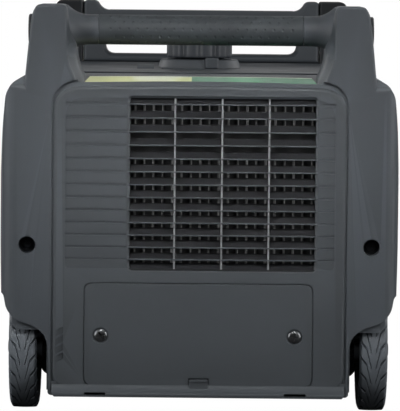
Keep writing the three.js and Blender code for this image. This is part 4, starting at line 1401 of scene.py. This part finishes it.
def front_panel():
    corners = [
        (-165.7, 21.5, 20),
        (165.7, 21.5, 20),
        (165.7, 325, 16),
        (149, 326, 3),
        (149, 366, 4),
        (-149, 366, 4),
        (-149, 326, 3),
        (-165.7, 325, 16),
    ]
    plate = prism(corners, "Y", 289, 292, steps=10)
    liner = prism(rectangle(-143, 143, 115, 345, 12), "Y", 268, 291, steps=10)
    room = [
        (outline(rectangle(-140, 140, 118, 342, 10), 10), 267),
        (outline(rectangle(-140, 140, 118, 342, 10), 10), 288),
        (outline(rectangle(-143.5, 143.5, 114.5, 345.5, 13), 10), 293),
    ]
    rows = [36 + 14 * k for k in range(5)]
    slots = [prism(rectangle(-110, 110, z, z + 7, 3), "Y", 285, 300, steps=5) for z in rows]
    panel = cut(join(plate, liner), stack("room", room, "Y"), *slots)
    panel = cut(panel, *[rod("Y", place, 4.6, 291.2, 293, 40) for place in PANEL_SCREWS])
    panel.name = "control_frame"
    return panel


def panel_screws():
    heads = []
    for x, z in PANEL_SCREWS:
        head = rod("Y", (x, z), 3.9, 290.4, 292, 32, 0.7)
        arms = [block(x - a, x + a, 291, 293, z - b, z + b) for a, b in ((2.6, 0.5), (0.5, 2.6))]
        heads.append(cut(head, *arms))
    return gather("panel_screws", heads)


def control_plate():
    plate = block(-142, 142, 264.6, 267.6, 116, 344)
    tools = [
        rod("Y", DIAL, 6, 250, 280, 32),
        rod("Y", START_BUTTON, 9.5, 250, 280, 48),
        rod("Y", BREAKER, 6.5, 250, 280, 40),
        block(-8.5, 8.5, 250, 280, 289, 315),
    ]
    return cut(plate, *tools)


def outlet(x, half, name, round_face):
    corners = rectangle(x - half, x + half, 188, 256, 5)
    body = pillow(corners, "Y", 268, 272.2, 1, name=name)
    if round_face:
        body = join(body, rod("Y", (x, 222), 21, 271, 273, 64, 0.5))
    return body


def holes(x, z, shapes):
    tools = []
    for dx, dz, w, h in shapes:
        a, b = x + dx, z + dz
        tools.append(block(a - w / 2, a + w / 2, 269.4, 274, b - h / 2, b + h / 2))
    return tools


def duplex():
    body = outlet(-95, 24, "duplex_sockets", False)
    faces = []
    for z in (238, 206):
        disc = rod("Y", (-95, z), 16.5, 271, 273, 64, 0.4)
        face = common(disc, block(-112, -78, 270, 274, z - 13, z + 13))
        faces.append(face)
    body = join(body, *faces)
    tools = []
    for z in (238, 206):
        tools += holes(-95, z, [(-6.3, 3, 1.9, 8.6), (6.3, 3, 1.9, 7)])
        tools.append(rod("Y", (-95, z - 6.5), 2.6, 269.4, 274, 32))
    tools.append(rod("Y", (-95, 222), 2.2, 270.6, 274, 32))
    body = cut(body, *tools)
    return named(body, "duplex_sockets", 0.25)


def locking_socket():
    body = outlet(2, 27, "locking_socket", True)
    tools = []
    for k in range(3):
        angle = math.pi / 2 + 2 * math.pi * k / 3
        corners = []
        for r, spread in ((11, -0.42), (13.6, -0.42), (13.6, 0.42), (11, 0.42)):
            corners.append((2 + r * math.cos(angle + spread), 222 + r * math.sin(angle + spread)))
        tools.append(prism(corners, "Y", 269.4, 274))
    body = cut(body, *tools)
    return named(body, "locking_socket", 0.25)


def dc_socket():
    body = outlet(92, 20, "dc_socket", False)
    ring = tube("Y", (92, 236), 10.5, 14.5, 271, 273, 64)
    bore = rod("Y", (92, 236), 10.5, 269, 274, 48)
    body = cut(join(body, ring), bore, block(86, 98, 269, 274, 198.5, 203.5))
    return named(body, "dc_socket", 0.25)


def locking_cover():
    lid = pillow(rectangle(-26, 30, 192, 260, 6), "Y", 273.5, 276, 0.8, name="lid")
    hinge = rod("X", (276, 260), 2.2, -18, 22, 32)
    lift = pillow(rectangle(-8, 12, 192.6, 197, 1.6), "Y", 275.5, 277.6, 0.6)
    rows = [206 + 8 * k for k in range(5)]
    ribs = [pillow(rectangle(-20, 24, z, z + 1.6, 0.7), "Y", 275.6, 276.5, 0.3) for z in rows]
    lid = join(lid, hinge, lift, *ribs)
    return named(lid, "socket_cover", 0.3)


def terminal():
    stud = rod("Y", GROUND, 3, 268, 284, 32, 0.6)
    nut = lathe("nut", "Y", GROUND, [(0, 271), (7, 271), (7, 276), (0, 276)], 6)
    washer = tube("Y", GROUND, 2.5, 8.6, 269.4, 271, 48)
    return gather("ground_stud", [stud, nut, washer, block(-112, -88, 272, 275, 144, 152)])


def dial():
    body = rod("Y", DIAL, 20, 268.4, 276, 96, 1)
    grip = pillow(rectangle(93, 103, 281, 319, 4.4), "Y", 274, 288, 1.6, name="grip")
    spindle = rod("Y", DIAL, 5, 256, 270, 32)
    body = join(body, grip, spindle)
    return named(body, "run_dial", 0.4)


def push_button():
    profile = [(0, 260), (9, 260), (9, 270.6), (8.2, 271.8), (6, 272), (5, 271.5), (0, 271.2)]
    return soften(lathe("push_button", "Y", START_BUTTON, profile, 64), 0.1, 2, 40)


def rocker():
    profile = [(255, 290), (269, 290), (271, 302), (269, 314), (255, 314)]
    body = prism([(a, b, 1) for a, b in profile], "X", -8, 8, steps=3)
    return named(body, "rocker", 0.6)


def breaker():
    profile = [(0, 260), (6, 260), (6, 272.2), (5.2, 273), (0, 273)]
    return soften(lathe("breaker", "Y", BREAKER, profile, 48), 0.3, 2, 40)


def display():
    glass = pillow(rectangle(-125, -60, 282, 322, 5), "Y", 268, 271, 0.8, name="display")
    return soften(glass, 0, angle=40)


def panel_marks():
    """Generic printed marks: dial ticks, socket frames, bars for text and a ground sign."""
    y0, y1 = 267.5, 267.85
    marks = []
    for k in range(5):
        angle = math.radians(150 - 30 * k)
        along = Vector((math.cos(angle), math.sin(angle)))
        across = Vector((-along.y, along.x)) * 0.5
        middle = Vector(DIAL)
        a, b = middle + along * 23, middle + along * 27
        marks.append(prism([tuple(a - across), tuple(b - across), tuple(b + across), tuple(a + across)][::-1],
                           "Y", y0, y1))
    for x, half in ((-95, 27), (2, 30), (92, 23)):
        for z in (184.6, 262.4):
            marks.append(block(x - half, x + half, y0, y1, z - 0.4, z + 0.4))
    for x, w in ((-95, 18), (2, 15), (92, 12), (40, 10), (0, 9)):
        z = 268 if x not in (40, 0) else 324
        marks.append(block(x - w, x + w, y0, y1, z, z + 1.8))
        marks.append(block(x - w * 0.6, x + w * 0.6, y0, y1, z + 3.4, z + 4.8))
    for k, w in enumerate((7, 4.6, 2.2)):
        marks.append(block(-100 - w, -100 + w, y0, y1, 133 - 2.4 * k, 133.8 - 2.4 * k))
    marks.append(block(-100.4, -99.6, y0, y1, 133.8, 137))
    for k in range(3):
        marks.append(block(-14, 66, y0, y1, 168 - 3.6 * k, 169.2 - 3.6 * k))
    return gather("panel_marks", marks)


def display_lamps():
    dots = []
    for k in range(4):
        dots.append(rod("Y", (-112 + 13 * k, 328), 1.8, 267.5, 268.6, 24, 0.4))
    return gather("pilot_lamps", dots)


def make_controls():
    put(front_panel(), charcoal, "housing", "charcoal_plastic", "front_panel", edge=0.4)
    put(panel_screws(), dark_zinc, "housing", "steel", edge=0)
    put(control_plate(), black_plastic, "housing", "black_plastic", "control_panel", edge=0)
    put(panel_marks(), white_print, "housing", "label_film", edge=0)
    put(display_lamps(), lamp_green, "housing", "window", edge=0)
    put(display(), glass, "housing", "window", "display_window")
    put(duplex(), black_plastic, "housing", "black_plastic", "duplex_outlet")
    put(locking_socket(), black_plastic, "housing", "black_plastic", "locking_outlet")
    put(dc_socket(), black_plastic, "housing", "black_plastic", "dc_outlet")
    put(locking_cover(), grip_rubber, "outlet_cover", "grip_rubber", "locking_outlet_cover")
    put(terminal(), zinc, "housing", "steel", "ground_terminal", edge=0.3)
    put(dial(), signal_red, "engine_dial", "red_plastic", "engine_dial")
    put(push_button(), signal_red, "start_button", "red_plastic", "start_button")
    put(rocker(), black_plastic, "eco_switch", "black_plastic", "eco_switch")
    put(breaker(), black_plastic, "breaker_button", "black_plastic", "circuit_breaker_button")


# ---- inside -------------------------------------------------------------------------------------
def make_inside():
    finish = {
        "engine_block": (cast_metal, 0.8),
        "cylinder_head": (cast_metal, 0.6),
        "alternator_rotor": (guard_steel, 0.6),
        "alternator_stator": (guard_steel, 0.6),
        "muffler": (guard_steel, 1.2),
        "spark_plug": (black_plastic, 0.6),
        "air_cleaner": (black_plastic, 1.0),
        "carburettor": (cast_metal, 0.6),
        "recoil_housing": (black_plastic, 0.6),
        "inverter_module": (cast_metal, 0.4),
        "battery": (black_plastic, 1.0),
        "fuel_tank": (black_plastic, 0.6),
        "rail_guide_left": (zinc, 0.4),
        "rail_guide_right": (zinc, 0.4),
    }
    for name, (material, width) in finish.items():
        wear(soften_frame(name, width), material)


# ---- everything together ------------------------------------------------------------------------
def make_all():
    make_camera()
    make_world()
    make_lights()
    make_side_covers()
    make_rear()
    make_top()
    make_wheels()
    make_base()
    make_pull_handle()
    make_starter()
    make_controls()
    make_inside()


make_all()
